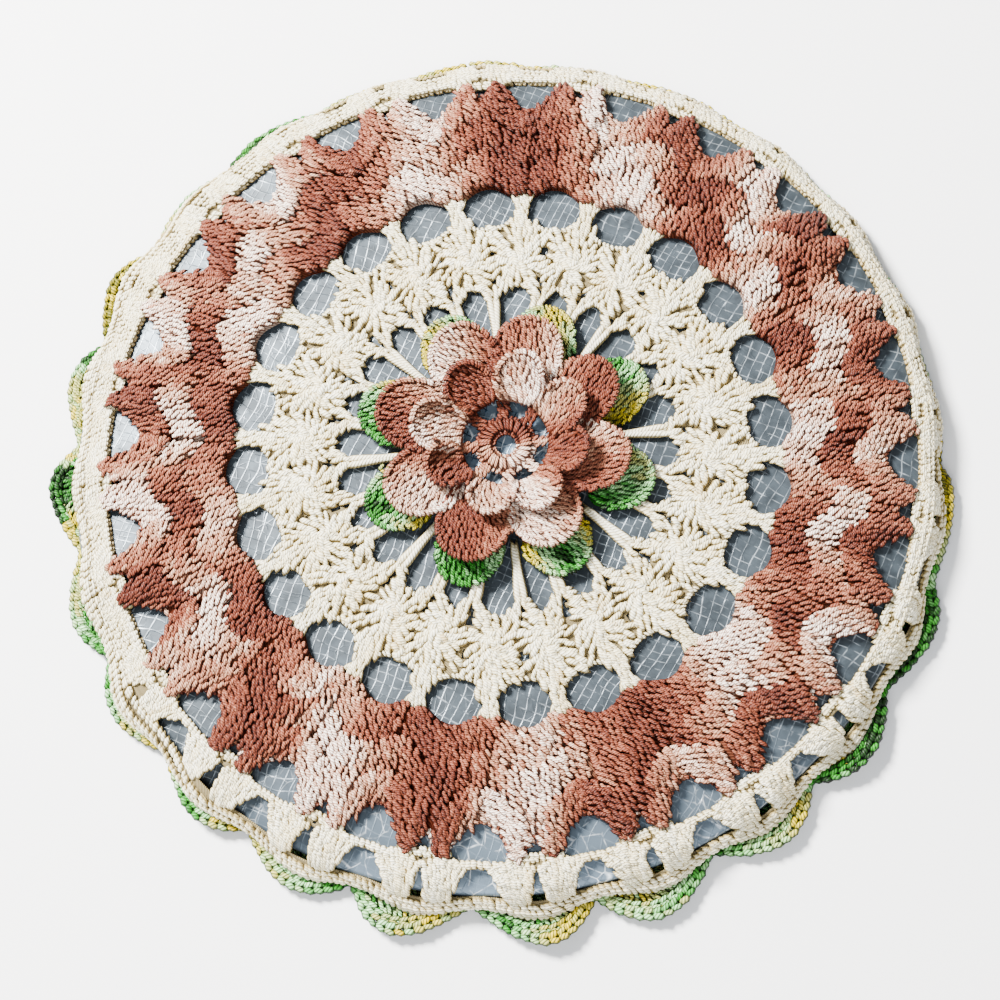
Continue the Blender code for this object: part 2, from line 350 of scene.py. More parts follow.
GRAIN = model_strand("grain", 0, 1.0, 0.31)
SHORT_STRAND = model_strand("short_strand", 1, 0.65, 0.15)
LONG_STRAND = model_strand("long_strand", 6, 0.65, 0.12)
print("triangles in each:", [len(model[1]) for model in (GRAIN, SHORT_STRAND, LONG_STRAND)])

# %% [markdown]
# ## Copy the strand into stitches
#
# A piece of crochet is gathered as a list of bent strands. Each strand follows a curve
# given by three or four guide points, and its dye, its ply and its height around the
# strand, which the material turns into painted highlight and shade, are stored with it. At
# the end all the strands of a piece become one joined mesh.
# %% Bend copies of the strand and join them
PLY_LENGTH = 0.8
PLIES_ROUND = 4.0
FLATTENING = 0.9


def curve_weights(along, degree):
    """How much each guide point pulls at each place along a Bezier curve."""
    return np.stack(
        [math.comb(degree, k) * along**k * (1 - along) ** (degree - k) for k in range(degree + 1)]
    )


def unit(vectors):
    return vectors / (np.linalg.norm(vectors, axis=-1, keepdims=True) + 1e-9)


def store(mesh, label, values):
    """Give every point of a mesh a number that its material can read."""
    stored = mesh.attributes.new(label, "FLOAT", "POINT")
    stored.data.foreach_set("value", values.astype(np.float32))


def settle(piece, slot):
    """Every piece rides on the pot holder's one body."""
    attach(piece, "root")


class Crochet:
    """The strands of one crocheted piece, gathered until it is finished."""

    def __init__(self):
        self.points, self.triangles, self.dyes, self.plies, self.painted_light_crowns = [], [], [], [], []
        self.count = 0

    def lay(self, guides, ups, width, dye, model=GRAIN):
        """Lay strands along curves: guides is (strands, 3 or 4 points, xyz)."""
        strands, steps = guides.shape[:2]
        shape, triangles = model
        along = shape[:, 2] + 0.5
        centre = np.einsum("kp,skx->spx", curve_weights(along, steps - 1), guides)
        ahead = unit(np.einsum("kp,skx->spx", curve_weights(along, steps - 2), np.diff(guides, axis=1)))
        ups = np.broadcast_to(ups, (strands, 3))[:, None, :]
        side = unit(np.cross(ahead, ups))
        rise = np.cross(side, ahead)
        width = np.broadcast_to(width, strands)[:, None, None]
        up_share, side_share = shape[:, 0][None, :, None], shape[:, 1][None, :, None]
        points = centre + (rise * up_share * FLATTENING + side * side_share) * width / 2
        length = np.linalg.norm(np.diff(guides, axis=1), axis=-1).sum(axis=1)
        around = np.arctan2(shape[:, 1], shape[:, 0]) / FULL_TURN
        ply = length[:, None] * along[None, :] / PLY_LENGTH + around[None, :] * PLIES_ROUND
        dye = np.broadcast_to(dye, strands)[:, None] + 0 * ply
        offsets = self.count + np.arange(strands)[:, None, None] * len(shape)
        self.points.append(points.reshape(-1, 3))
        self.triangles.append((triangles[None] + offsets).reshape(-1, 3))
        self.dyes.append(dye.ravel())
        self.plies.append(ply.ravel())
        self.painted_light_crowns.append(np.tile(shape[:, 0], strands))
        self.count += strands * len(shape)

    def finish(self, name, slot):
        """Join the strands into one object."""
        points = np.concatenate(self.points) * MM
        triangles = np.concatenate(self.triangles).astype(np.int32)
        mesh = bpy.data.meshes.new(name)
        mesh.vertices.add(len(points))
        mesh.vertices.foreach_set("co", points.ravel().astype(np.float32))
        mesh.loops.add(triangles.size)
        mesh.loops.foreach_set("vertex_index", triangles.ravel())
        mesh.polygons.add(len(triangles))
        mesh.polygons.foreach_set("loop_start", np.arange(0, triangles.size, 3, dtype=np.int32))
        mesh.update(calc_edges=True)
        for label, values in (("dye", self.dyes), ("ply", self.plies), ("painted_light_crown", self.painted_light_crowns)):
            store(mesh, label, np.concatenate(values))
        mesh.shade_smooth()
        mesh.materials.append(threads[slot])
        piece = bpy.data.objects.new(name, mesh)
        bpy.context.scene.collection.objects.link(piece)
        settle(piece, slot)
        print(f"{name}: {len(triangles)} triangles")
        return piece


# %% [markdown]
# ## Ways of laying strands
#
# A tall stitch is two columns of grains that all lean the same way and lie a little
# further apart at its head than at its foot. A ray is a straight stitch of one or two
# columns, a braid is the chain of loops that closes an edge and looks like a row of V
# shapes, and a roll is a row of grains worked over an edge. Tall stitches are told where
# the surface is by a function, rays run between two points, and the others follow a line.
# %% Tall stitches and rays
UP = np.array([0.0, 0.0, 1.0])
THICK_SPREAD, DYE_SPREAD, LEAN_SPREAD = 0.12, 0.08, 0.35
GRAIN_START, GRAIN_END = -0.48, 1.24


def spots_at(places, rows):
    """Pairs of a place and a row, for the feet or the heads of stitches."""
    return np.stack(np.broadcast_arrays(places, rows), axis=-1)


def facing(surface, place, row):
    """Unit normals of a surface."""
    ups = surface(place, row, 2.0) - surface(place, row, 0.0)
    return ups / np.linalg.norm(ups, axis=-1, keepdims=True)


def uneven_grains(work, guides, ups, width, dye):
    count = len(guides)
    thick = width * random.normal(1, THICK_SPREAD, count)
    work.lay(guides, ups, thick, np.clip(dye + random.normal(0, DYE_SPREAD, count), 0, 1))


def grain_columns(work, path, lengths, ups, dye, columns, width=THREAD, pitch=1.55, lean=0.75, bow=0.85):
    """Columns of grains; path(stitch, share) gives points, columns their offsets at both ends."""
    counts = np.maximum(np.round(lengths / pitch), 1).astype(int)
    stitch = np.repeat(np.arange(len(counts)), counts)
    step = np.concatenate([np.arange(count) for count in counts])
    ups = np.broadcast_to(ups, (len(counts), 3))[stitch]
    dye = np.broadcast_to(dye, len(counts))[stitch]
    for rank, (near, far) in enumerate(columns):
        begin = (step + 0.5 * rank + GRAIN_START) / counts[stitch]
        end = (step + 0.5 * rank + GRAIN_END) / counts[stitch]
        start, middle, stop = (path(stitch, share) for share in (begin, (begin + end) / 2, end))
        side = unit(np.cross(stop - start, ups))
        offset = (near + (far - near) * (begin + end) / 2)[:, None]
        tilt = lean * random.normal(1, LEAN_SPREAD, (len(begin), 1))
        dip = ups * bow * 0.5
        guides = np.stack(
            [
                start + side * (offset + tilt) - dip,
                middle + side * offset + ups * bow * 1.5,
                stop + side * (offset - tilt) - dip,
            ],
            axis=1,
        )
        guides += random.normal(0, 0.08, guides.shape)
        guides += side[:, None] * random.normal(0, 0.2, (len(guides), 1, 1))
        uneven_grains(work, guides, ups, width, dye)


def rays(work, feet, heads, ups, dye, columns=((0, 0),), **looks):
    """Straight stitches from foot points to head points."""
    span = heads - feet

    def path(stitch, share):
        return feet[stitch] + span[stitch] * share[:, None]

    grain_columns(work, path, np.linalg.norm(span, axis=-1), ups, dye, columns, **looks)


def tall_stitches(work, surface, foot, head, spread, dye, lift=0.5, **looks):
    """Stitches of two columns on a surface; foot and head are (stitches, place and row)."""
    middle = (foot + head) / 2
    span = surface(head[:, 0], head[:, 1], lift) - surface(foot[:, 0], foot[:, 1], lift)

    def path(stitch, share):
        spot = foot[stitch] + (head - foot)[stitch] * share[:, None]
        return surface(spot[:, 0], spot[:, 1], lift)

    near, far = spread
    ups = facing(surface, middle[:, 0], middle[:, 1])
    columns = ((-near, -far), (near, far))
    grain_columns(work, path, np.linalg.norm(span, axis=-1), ups, dye, columns, **looks)


# %% Braids and rolls along an edge
BRAID_SPREAD = 0.42


def walk(line, pitch, closed):
    """Even steps along a line of points: a function of distance, and the stops."""
    if closed:
        line = np.concatenate([line, line[:1]])
    steps = np.linalg.norm(np.diff(line, axis=0), axis=1)
    length = np.append(0, np.cumsum(steps))
    count = max(int(round(length[-1] / pitch)), 2)

    def at(distance):
        return np.stack([np.interp(distance, length, line[:, k]) for k in range(3)], axis=-1)

    return at, np.linspace(0, length[-1], count + 1)


def braid(work, line, dye, width, pitch):
    """A closed chain of V-shaped loops along a line of points."""
    at, stops = walk(line, pitch, True)
    pitch = stops[1]
    start, end = at(stops[:-1] - 0.3 * pitch), at(stops[1:] + 0.25 * pitch)
    middle = at((stops[:-1] + stops[1:]) / 2)
    side = unit(np.cross(end - start, UP))
    tones = dye(stops[:-1] / stops[-1])
    for hand in (-1, 1):
        guides = np.stack(
            [
                start + side * hand * width * (BRAID_SPREAD + 0.25) - UP * 0.2,
                middle + side * hand * width * BRAID_SPREAD + UP * 0.5,
                end + side * hand * width * 0.05 - UP * 0.1,
            ],
            axis=1,
        )
        guides += random.normal(0, 0.05, guides.shape)
        uneven_grains(work, guides, UP, width, tones)


def roll(work, line, ups, dye, width=0.9, pitch=0.85, reach=2.0, lean=0.5, bow=0.7, closed=False):
    """Grains over an edge, side by side, each leaning a little along it.

    dye is one number, or a function of the share of the way along the line.
    """
    at, stops = walk(line, pitch, closed)
    stops = stops[:-1] + pitch * 0.15 * random.normal(0, 1, len(stops) - 1)
    if np.ndim(ups) > 1:
        ups = ups[np.linspace(0, len(ups) - 1, len(stops)).astype(int)]
    side = unit(np.cross(at(stops + pitch / 2) - at(stops - pitch / 2), ups))
    guides = np.stack(
        [
            at(stops - lean / 2) - side * reach / 2 - ups * bow / 2,
            at(stops) + ups * bow,
            at(stops + lean / 2) + side * reach / 2 - ups * bow / 2,
        ],
        axis=1,
    )
    guides += random.normal(0, 0.06, guides.shape)
    tones = dye(stops / stops[-1]) if callable(dye) else np.full(len(stops), dye)
    uneven_grains(work, guides, ups, width, tones)


# %% [markdown]
# ## The ground under the stitches
#
# Between the strands of real crochet lie more loops, in shadow. They are made as a thin
# sheet under the stitches, open where the lace is open, and coloured darker than the
# strands as painted shade. A flat grid is added, its points are moved to their places on
# the pad, and Solidify gives it a thickness.
# %% Make a ground sheet from a grid
# Grounds take the painted highlight and shade of a strand part-way up its side.
GROUND_THICK, GROUND_PAINTED_LIGHT_CROWN = 0.35, 0.6


def add_grid(name, columns, rows):
    deselect_all()
    bpy.ops.mesh.primitive_grid_add(x_subdivisions=columns, y_subdivisions=rows, size=2)
    bpy.context.object.name = name
    return bpy.context.object


def bend_grid(mesh, columns, rows, place):
    """Move the points of a flat grid to place(column, row), and return both numbers."""
    flat = np.empty(len(mesh.vertices) * 3, np.float32)
    mesh.vertices.foreach_get("co", flat)
    flat = flat.reshape(-1, 3)
    column, row = (flat[:, 0] + 1) / 2 * columns, (flat[:, 1] + 1) / 2 * rows
    points = place(column, row) * MM
    mesh.vertices.foreach_set("co", points.ravel().astype(np.float32))
    return column, row


def turn_up(sheet):
    """Flip a sheet whose faces look down."""
    normals = np.empty(len(sheet.data.polygons) * 3, np.float32)
    sheet.data.polygons.foreach_get("normal", normals)
    if normals.reshape(-1, 3)[:, 2].sum() < 0:
        edit_whole(bpy.ops.mesh.flip_normals)


def ground_sheet(
    name, node, slot, grid, place, dye, is_open=None, closed=True, thick=GROUND_THICK, material=None
):
    """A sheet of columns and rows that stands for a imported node.

    place(column, row) gives points in millimetres, and is_open(column, row) says where
    the gaps are.
    """
    columns, rows = grid
    sheet = add_grid(name, columns, rows)
    mesh = sheet.data

    def in_gap(face):
        middle = face.calc_center_median()
        return is_open((middle.x + 1) / 2 * columns, (middle.y + 1) / 2 * rows)

    if is_open is not None:
        bpy.ops.object.mode_set(mode="EDIT")
        select_where(mesh, "faces", in_gap)
        bpy.ops.mesh.delete(type="FACE")
        bpy.ops.object.mode_set(mode="OBJECT")
    column, row = bend_grid(mesh, columns, rows, place)
    store(mesh, "dye", np.clip(dye(column, row), 0, 1))
    store(mesh, "ply", column * 1.7 + row * 2.3)
    store(mesh, "painted_light_crown", np.full(len(column), GROUND_PAINTED_LIGHT_CROWN))
    mesh.update()
    if closed:
        edit_whole(bpy.ops.mesh.remove_doubles, threshold=0.01 * MM)
    turn_up(sheet)
    solid = sheet.modifiers.new("thickness", "SOLIDIFY")
    solid.thickness = thick * MM
    solid.offset = 1.0
    bpy.ops.object.modifier_apply(modifier=solid.name)
    mesh.shade_smooth()
    mesh.materials.append(material or grounds[slot])
    settle(sheet, slot)
    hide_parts(node)
    print(f"{name}: {len(mesh.polygons)} faces")
    return sheet


def plain_tone(column, row):
    """The cream grounds have one dye all over, tan below the cream strands, as painted shade."""
    return 0.3 + 0 * column


def flat_area(sheet):
    """Area of one side of a finished sheet, in square metres."""
    return sum(face.area for face in sheet.data.polygons) / 2


# %% [markdown]
# ## Ripple band
#
# Three brown rounds. Each arches over the big holes and dips at the posts, and the last
# one ends in a pair of horns at every peak. In the real thing the arches come from
# several stitches worked into one loop at a peak and skipped at a dip. The outline of a
# round is a short table, and its stitches are spread along the outline.
# %% The outline and the folds of the ripple band
RIPPLE_OUTLINE = (
    # place in cell, foot, first round, second round, horn or notch
    (-0.47, 60.2, 66.8, 74.4, 81.6),
    (-0.36, 59.7, 67.7, 75.4, 82.5),
    (-0.26, 60.6, 69.2, 76.9, 84.2),
    (-0.19, 61.5, 70.3, 77.9, 86.6),
    (-0.13, 61.9, 70.9, 78.4, 88.5),
    (-0.06, 62.3, 71.3, 78.9, 86.6),
    (0.03, 62.4, 71.4, 79.0, 83.6),
    (0.12, 62.2, 71.3, 78.9, 86.6),
    (0.19, 61.7, 70.8, 78.3, 88.7),
    (0.25, 61.2, 70.1, 77.6, 86.6),
    (0.33, 60.3, 68.8, 76.3, 83.8),
    (0.42, 59.6, 67.4, 75.0, 82.2),
    (0.53, 60.2, 66.8, 74.4, 81.6),
)
NOTCH_RADIUS, HORN_STRETCH = 81.6, 0.35
SWELL, PILLOW = 0.9, 1.7
PROUD_PEAKS = {
    # cell, and how much further its peak stands up
    0: 0.8, 1: 0.7, 2: 0.5, 4: 1.4, 8: 0.6, 9: 0.5, 11: 0.6, 15: 0.5, 17: 0.8, 19: 1.5, 20: 0.9,
}
FOLDS = (
    # place of the fold's edge, height of the step, side that stands up
    (-0.35, 1.0, 1), (0.58, 1.3, -1), (1.3, 0.9, -1), (2.32, 0.8, 1), (3.67, 1.2, 1), (5.6, 0.6, -1),
    (7.5, 0.6, 1), (8.55, 0.7, -1), (10.6, 0.6, 1), (11.45, 0.5, -1), (12.62, 1.1, -1), (14.55, 0.9, -1),
    (15.55, 0.5, 1), (17.4, 0.7, 1), (18.5, 0.9, 1), (19.35, 1.4, -1), (20.55, 0.8, 1), (21.6, 0.5, -1),
)
FOLD_WIDTH = 0.4
outline = np.array(RIPPLE_OUTLINE)
outline_places = np.concatenate([outline[:-1, 0] - 1, outline[:, 0], outline[1:, 0] + 1])
outline_radii = np.concatenate([outline[:-1, 1:], outline[:, 1:], outline[1:, 1:]])


def ripple_radius(place, level):
    """Radius at a place and a level from 0 (foot) to 3 (horns)."""
    offset = (place + 0.5) % 1 - 0.5
    edges = np.stack([np.interp(offset, outline_places, outline_radii[:, k]) for k in range(4)])
    stretch = HORN_STRETCH * (0.6 - 0.5 * np.cos(cell_angle(place)))
    edges[3] += stretch * np.maximum(edges[3] - NOTCH_RADIUS, 0)
    level = np.clip(level, 0, 3)
    low = np.minimum(np.floor(level).astype(int), 2)
    share = level - low
    index = np.arange(len(place))
    return edges[low, index] * (1 - share) + edges[low + 1, index] * share


def ripple_lift(place, level):
    """How far the band stands off the foil: rounds are pillows, peaks are folds."""
    proud = np.array([PROUD_PEAKS.get(number, 0.0) for number in range(CELLS)])
    swell = SWELL + proud[np.round(place).astype(int) % CELLS]
    fold = swell * np.cos(math.pi * ((place + 0.5) % 1 - 0.5)) ** 2
    fold = fold * np.interp(level, (0, 1, 2, 3), (0.0, 0.6, 1.0, 0.5))
    share = np.clip(level, 0, 2.999) % 1
    pillow = PILLOW * np.clip(share / 0.12, 0, 1) * (1 - share) ** 0.6
    step = 0.0
    for start, height, hand in FOLDS:
        past = ((place - start + CELLS / 2) % CELLS - CELLS / 2) * hand
        step = step + np.where(past > 0, height * np.clip(1 - past / FOLD_WIDTH, 0, 1) ** 2, 0.0)
    return fold + pillow + step * np.interp(level, (0, 0.5, 2.5, 3), (0.3, 1.0, 1.0, 0.5))


def on_ripple(place, level, lift):
    """A point of the band from a place and a level instead of a radius."""
    place, level = np.broadcast_arrays(np.asarray(place, float), np.asarray(level, float))
    return on_pad(place, ripple_radius(place, level), ripple_lift(place, level) + lift)


# %% [markdown]
# The thread of each round changes colour at its own pace, so the stripes of one round
# drift past those of the next. The middles of the dark and the light stretches were
# noted cell by cell, and the dye runs smoothly from one to the next.
# %% Dye of the three brown rounds
DARK_PLACES = (
    (0.3, 0.75, 3.2, 4.9, 7.7, 10.5, 13.2, 16.0, 18.8, 21.6),
    (0.3, 0.75, 2.75, 4.2, 6.4, 8.6, 10.6, 13.0, 15.2, 17.6, 19.6, 22.0),
    (0.3, 0.7, 2.2, 3.8, 5.4, 7.55, 9.3, 11.2, 13.0, 15.0, 16.85, 18.9, 20.7, 22.5),
)
LIGHT_PLACES = (
    (1.95, 4.2, 6.2, 9.2, 12.0, 14.7, 17.4, 20.2, 23.2),
    (1.65, 3.5, 5.1, 7.3, 9.4, 12.0, 14.2, 16.3, 18.6, 20.9, 23.2),
    (1.3, 3.3, 4.7, 6.4, 8.5, 10.4, 12.3, 14.2, 16.0, 17.7, 19.7, 21.6, 23.3),
)
PALE_PLACES = (
    # the light stretches that are nearly white, where the others are tan
    (1.95, 4.2, 6.2, 9.2, 20.2, 23.2),
    (1.65, 3.5, 5.1, 7.3, 9.4, 12.0, 14.2, 16.3, 18.6, 20.9),
    (1.3, 3.3, 8.5, 12.3, 14.2, 17.7, 19.7, 21.6, 23.3),
)


def ripple_dye(place, number):
    """Dye at a place in one of the rounds, 0 dark to 1 pale."""
    spots = [(spot, 0.05) for spot in DARK_PLACES[number]]
    spots += [(spot, 0.95 if spot in PALE_PLACES[number] else 0.72) for spot in LIGHT_PLACES[number]]
    places, tones = np.array(sorted(spots)).T
    places = np.concatenate([places - CELLS, places, places + CELLS])
    tones = np.tile(tones, 3)
    place = np.asarray(place, float)
    place = place + 0.05 * np.sin(7.1 * place + 2 * number) + 0.03 * np.sin(17.3 * place)
    share = np.interp(place % CELLS, places, tones)
    return 0.4 * share + 0.6 * share * share * (3 - 2 * share)


# %% Work the three rounds of the ripple band
PEAK_SEAM = 0.02
# place of the foot and its height in the round, then place of the head, both places
# counted from the seam at the peak
ROUND_STITCHES = ((0.06, 0.0, 0.045), (0.17, 0.0, 0.14), (0.28, 0.0, 0.25), (0.39, 0.0, 0.37))
HORN_STITCHES = (
    (0.05, 0.02, 0.075), (0.15, 0.02, 0.115), (0.25, 0.02, 0.155), (0.35, 0.02, 0.19),
    (0.44, 0.05, 0.26), (0.49, 0.35, 0.35),
)
HORN_EDGE = 2.97


def ripple_stitches(number):
    """Feet and heads of a round: both halves of a cell lean to the peak."""
    feet, heads = [], []
    for cell in UNIT_CELLS:
        seam = cell + PEAK_SEAM + random.normal(0, 0.01)
        for hand in (-1, 1):
            for foot, height, head in HORN_STITCHES if number == 2 else ROUND_STITCHES:
                feet.append((seam + hand * foot, number + height))
                heads.append((seam + hand * head, number + 1.0))
        feet.append((seam + 0.5, number + 0.05))
        heads.append((seam + 0.5, number + 0.97))
    feet, heads = np.array(feet), np.array(heads)
    feet[:, 0] += random.normal(0, 0.012, len(feet))
    heads[:, 0] += random.normal(0, 0.016, len(heads))
    return feet, heads


def work_ripple_round(number):
    work = Crochet()
    foot, head = ripple_stitches(number)
    dye = ripple_dye((foot[:, 0] + head[:, 0]) / 2, number) + random.normal(0, 0.04, len(foot))
    tall_stitches(work, on_ripple, foot, head, (0.36, 0.58), dye, pitch=1.35, lean=0.85)
    if number == 2:
        line = on_ripple(np.linspace(0, CELLS, CELLS * 60, endpoint=False), HORN_EDGE, 0.4)
        roll(
            work, line, UP, lambda share: ripple_dye(share * CELLS, number),
            pitch=1.1, reach=1.5, lean=1.6, bow=0.5, closed=True,
        )
    return work.finish(f"ripple_round_{number + 1}", "brown_cotton")


ripple_rounds = [work_ripple_round(number) for number in range(3)]

# %% Lay the ripple band's ground
RIPPLE_COLUMNS, RIPPLE_ROWS = 14, 12


def ripple_ground_point(column, row):
    return on_ripple(column / RIPPLE_COLUMNS - 0.5, 3 * row / RIPPLE_ROWS, 0.0)


def ripple_ground_dye(column, row):
    place = column / RIPPLE_COLUMNS - 0.5
    level = np.minimum((3 * row / RIPPLE_ROWS).astype(int), 2)
    tones = np.stack([ripple_dye(place, number) for number in range(3)])
    return tones[level, np.arange(len(level))]


ripple_ground = ground_sheet(
    "ripple_ground", "ripple_band", "brown_cotton", (CELLS * RIPPLE_COLUMNS, RIPPLE_ROWS),
    ripple_ground_point, ripple_ground_dye,
)

# %% [markdown]
# ## Field
#
# Cream lace from the rose to the big holes: a spoke at every whole cell, a round of
# shells that starts between the spokes, a round of fans on the shells, and a post at
# every half cell that ends in a fork.
# %% Radii of the field
SPOKE_FOOT, SPOKE_HEAD = 21.0, 37.6
SHELL_FOOT, SHELL_HEAD = 38.3, 51.9
POST_FOOT, POST_HEAD = 51.5, 59.6
STAR_PLACE, STAR_RADIUS = 0.53, 44.0
SMALL_HOLES = (
    # place and radius of the middle, half width in cells, half height
    (0.03, 39.4, 0.095, 1.5), (-0.02, 46.9, 0.10, 1.2), (0.53, 43.9, 0.035, 0.9),
)
STAR_OUTLINE = (
    # place from the star's middle and radius, from the post clockwise to the arch below
    (0.00, 56.5), (0.10, 55.6), (0.19, 53.9), (0.29, 52.6), (0.40, 51.9), (0.50, 51.7), (0.51, 48.4),
    (0.37, 47.2), (0.37, 46.2), (0.50, 45.2), (0.51, 43.2), (0.50, 41.3), (0.40, 40.4), (0.39, 39.2),
    (0.33, 38.6), (0.22, 38.3), (0.11, 38.4), (0.00, 38.5),
)


def cream_tone(place):
    """Cream cotton is one colour, and stitches differ only a little in their shade."""
    place = np.asarray(place, float)
    return 0.72 + 0.12 * np.sin(place * 2.1) + random.normal(0, 0.15, place.shape)


# %% Spokes and their forks
SPOKE_RADII = np.array([SPOKE_FOOT, 26.0, 31.5, SPOKE_HEAD])
SPOKE_LEAN, SPOKE_TWIST = np.array([0.0, 0.3, 0.6, 1.0]), np.array([1, -1, 1, -1])
SPOKE_STRANDS = (
    # distances to the side, lift, how far it rises and dips, width
    ((0.7, -0.7, 1.0, 0.8), 0.8, 0.3, 1.7),
    ((-0.8, 0.7, -0.9, 1.2), 0.5, 0.0, 1.5),
)


def work_spokes(work):
    """Plump strands that twist round each other and fork at the top."""
    rank = np.arange(4)
    for cell in UNIT_CELLS:
        wander = random.normal(0, 0.04)
        for hand in (-1, 1):
            for sides, height, rise, width in SPOKE_STRANDS:
                across = hand * np.array(sides) / (SPOKE_RADII * FULL_TURN / CELLS)
                lift = height + rise * SPOKE_TWIST * hand
                line = on_pad(cell + across + wander * SPOKE_LEAN, SPOKE_RADII, lift)
                work.lay(line[None], UP, width, cream_tone(cell) + 0.2, LONG_STRAND)
            fork = cell + wander + hand * (0.035 + 0.012 * rank)
            feet = on_pad(fork, SPOKE_HEAD - 3.0 + 0.5 * rank, 0.6)
            heads = on_pad(cell + wander + hand * (0.36 - 0.05 * rank), SHELL_FOOT + 0.7 * rank, 0.6)
            rays(work, feet, heads, UP, cream_tone(rank), width=1.1, pitch=1.9)


# %% Stars and posts
star_places, star_radii = np.array(STAR_OUTLINE).T
STAR_RAYS = (
    # rays, share of the way out at their feet and heads, lift, columns of grains
    (11, 0.10, 0.98, 0.55, ((-0.25, -0.8), (0.25, 0.8))),
    (11, 0.45, 1.00, 0.35, ((0.0, 0.0),)),
    (7, 0.00, 0.34, 0.7, ((0.0, 0.0),)),
)


def star_edge(turn):
    """Outline of a star, for a share of a half turn from the post to the arch."""
    steps = np.hypot(np.diff(star_places) * 12, np.diff(star_radii))
    length = np.append(0, np.cumsum(steps))
    stop = np.abs(turn) * length[-1]
    return np.sign(turn) * np.interp(stop, length, star_places), np.interp(stop, length, star_radii)


def work_star(work, middle):
    """Three sets of rays between a wandering centre and the star's outline."""
    for count, start, end, lift, columns in STAR_RAYS:
        turn = (np.arange(count) + 0.5 * (lift < 0.5)) / count * 2 - 1 + random.normal(0, 0.02, count)
        place, radius = star_edge((turn + 1) % 2 - 1)
        shares = (start + random.normal(0, 0.05, count), end + random.normal(0, 0.04, count))
        centre_place = middle + random.normal(0, 0.025, count)
        centre_radius = STAR_RADIUS + random.normal(0, 0.5, count)
        feet, heads = (
            on_pad(
                centre_place + (middle + place - centre_place) * share,
                centre_radius + (radius - centre_radius) * share,
                lift,
            )
            for share in shares
        )
        rays(work, feet, heads, UP, cream_tone(place), columns, width=1.4, pitch=2.1, lean=0.55)


FORK_PLACES, FORK_LIFTS = np.array([0.04, 0.11, 0.17]), np.array([0.6, 1.1, 0.6])
POST_PLACES = np.array([-0.07, 0.0, 0.07])


def work_post(work, cell, middle):
    """Three stitches side by side, and a fork of two strands to each side."""
    foot = spots_at(middle + POST_PLACES * 1.1, POST_FOOT)
    head = spots_at(middle + POST_PLACES * 0.8, POST_HEAD + 0.4)
    tone = cream_tone(POST_PLACES)
    tall_stitches(work, on_pad, foot, head, (0.3, 0.25), tone, lift=0.7, width=1.0, lean=0.35)
    for hand in (-1, 1):
        for rank in range(2):
            place = middle + hand * (FORK_PLACES - 0.03 * rank)
            radii = np.array([POST_HEAD - 2.6, POST_HEAD - 0.9, POST_HEAD + 1.3 - 0.5 * rank])
            work.lay(on_pad(place, radii, FORK_LIFTS)[None], UP, 1.0, cream_tone(cell), SHORT_STRAND)


def work_field():
    work = Crochet()
    work_spokes(work)
    share = np.linspace(-1, 1, 25)
    for cell in UNIT_CELLS:
        middle = cell + STAR_PLACE + random.normal(0, 0.012)
        work_star(work, middle)
        work_post(work, cell, middle)
        line = on_pad(cell + 0.42 * share, SHELL_HEAD + 3.6 * np.abs(share * 0.84) ** 2.4, 0.8)
        roll(work, line, UP, 0.8, width=0.85, pitch=1.0, reach=1.5, lean=1.1, bow=0.4)
        line = on_pad(cell + 0.5 + 0.38 * share, SHELL_FOOT + 0.5 * np.abs(share) ** 2, 0.6)
        roll(work, line, UP, 0.8, pitch=0.9, reach=1.5, lean=0.8, bow=0.4)
    return work.finish("field_stitches", "cream_cotton")


field_stitches = work_field()

# %% Lay the field's ground
FIELD_COLUMNS, FIELD_ROWS = 18, 14


def field_ground_place(column, row):
    """Place and radius of a point between the field's inner and outer edge."""
    place = column / FIELD_COLUMNS
    offset = np.abs((np.asarray(place, float) + 0.5) % 1 - 0.5)
    inner = 37.5 + 1.0 * (2 * offset) ** 2
    outer = 52.2 + 4.4 * (2 * offset) ** 2.2
    return place, inner + (outer - inner) * row / FIELD_ROWS


def field_open(column, row):
    place, radius = field_ground_place(column, row)
    for centre, hole_radius, half_width, half_height in SMALL_HOLES:
        offset = (place - centre + 0.5) % 1 - 0.5
        if (offset / half_width) ** 2 + ((radius - hole_radius) / half_height) ** 2 < 1:
            return True
    return False


field_ground = ground_sheet(
    "field_ground", "field", "cream_cotton", (CELLS * FIELD_COLUMNS, FIELD_ROWS),
    lambda column, row: on_pad(*field_ground_place(column, row), -0.1),
    plain_tone, is_open=field_open,
)

# %% [markdown]
# ## Border
#
# Cream again: a bar from horn to horn, a pair of fans at every whole cell, and a thick
# rolled edge that holds the lace down over the rim. On the left, the top and the right
# the gaps between the fans are worked closed. At the bottom they are open eyelets.
# %% Work the border
BODIES = (
    # start and end of the base on the bar, and the top
    (-0.35, 0.0, -0.13),
    (0.08, 0.45, 0.23),
)
BAR_SHARE, EDGE_SHARE, BAR_SAG = 0.28, 0.80, 0.03
BODY_STITCHES = 8
BARS = (
    # share of the way over the rim, middle and half width, then lift, width, reach and lean
    (BAR_SHARE - 0.08, 0.55, 0.26, 0.7, 1.15, 1.3, 1.7),
    (BAR_SHARE - 0.02, 0.55, 0.26, 0.7, 1.15, 1.3, 1.7),
    (0.04, 0.04, 0.25, 0.5, 1.1, 1.6, 1.3),
    (0.13, 0.04, 0.25, 0.5, 1.1, 1.6, 1.3),
)
EDGE_ROLLS = (
    # share of the way over the rim, lift
    (0.80, 0.9), (0.88, 1.3), (0.97, 0.8),
)
FILLERS = (
    # share of the way over the rim, first and last cell
    (0.36, 16.0, 32.2), (0.47, 16.0, 32.2), (0.58, 16.2, 22.5), (0.68, 16.2, 22.5),
)


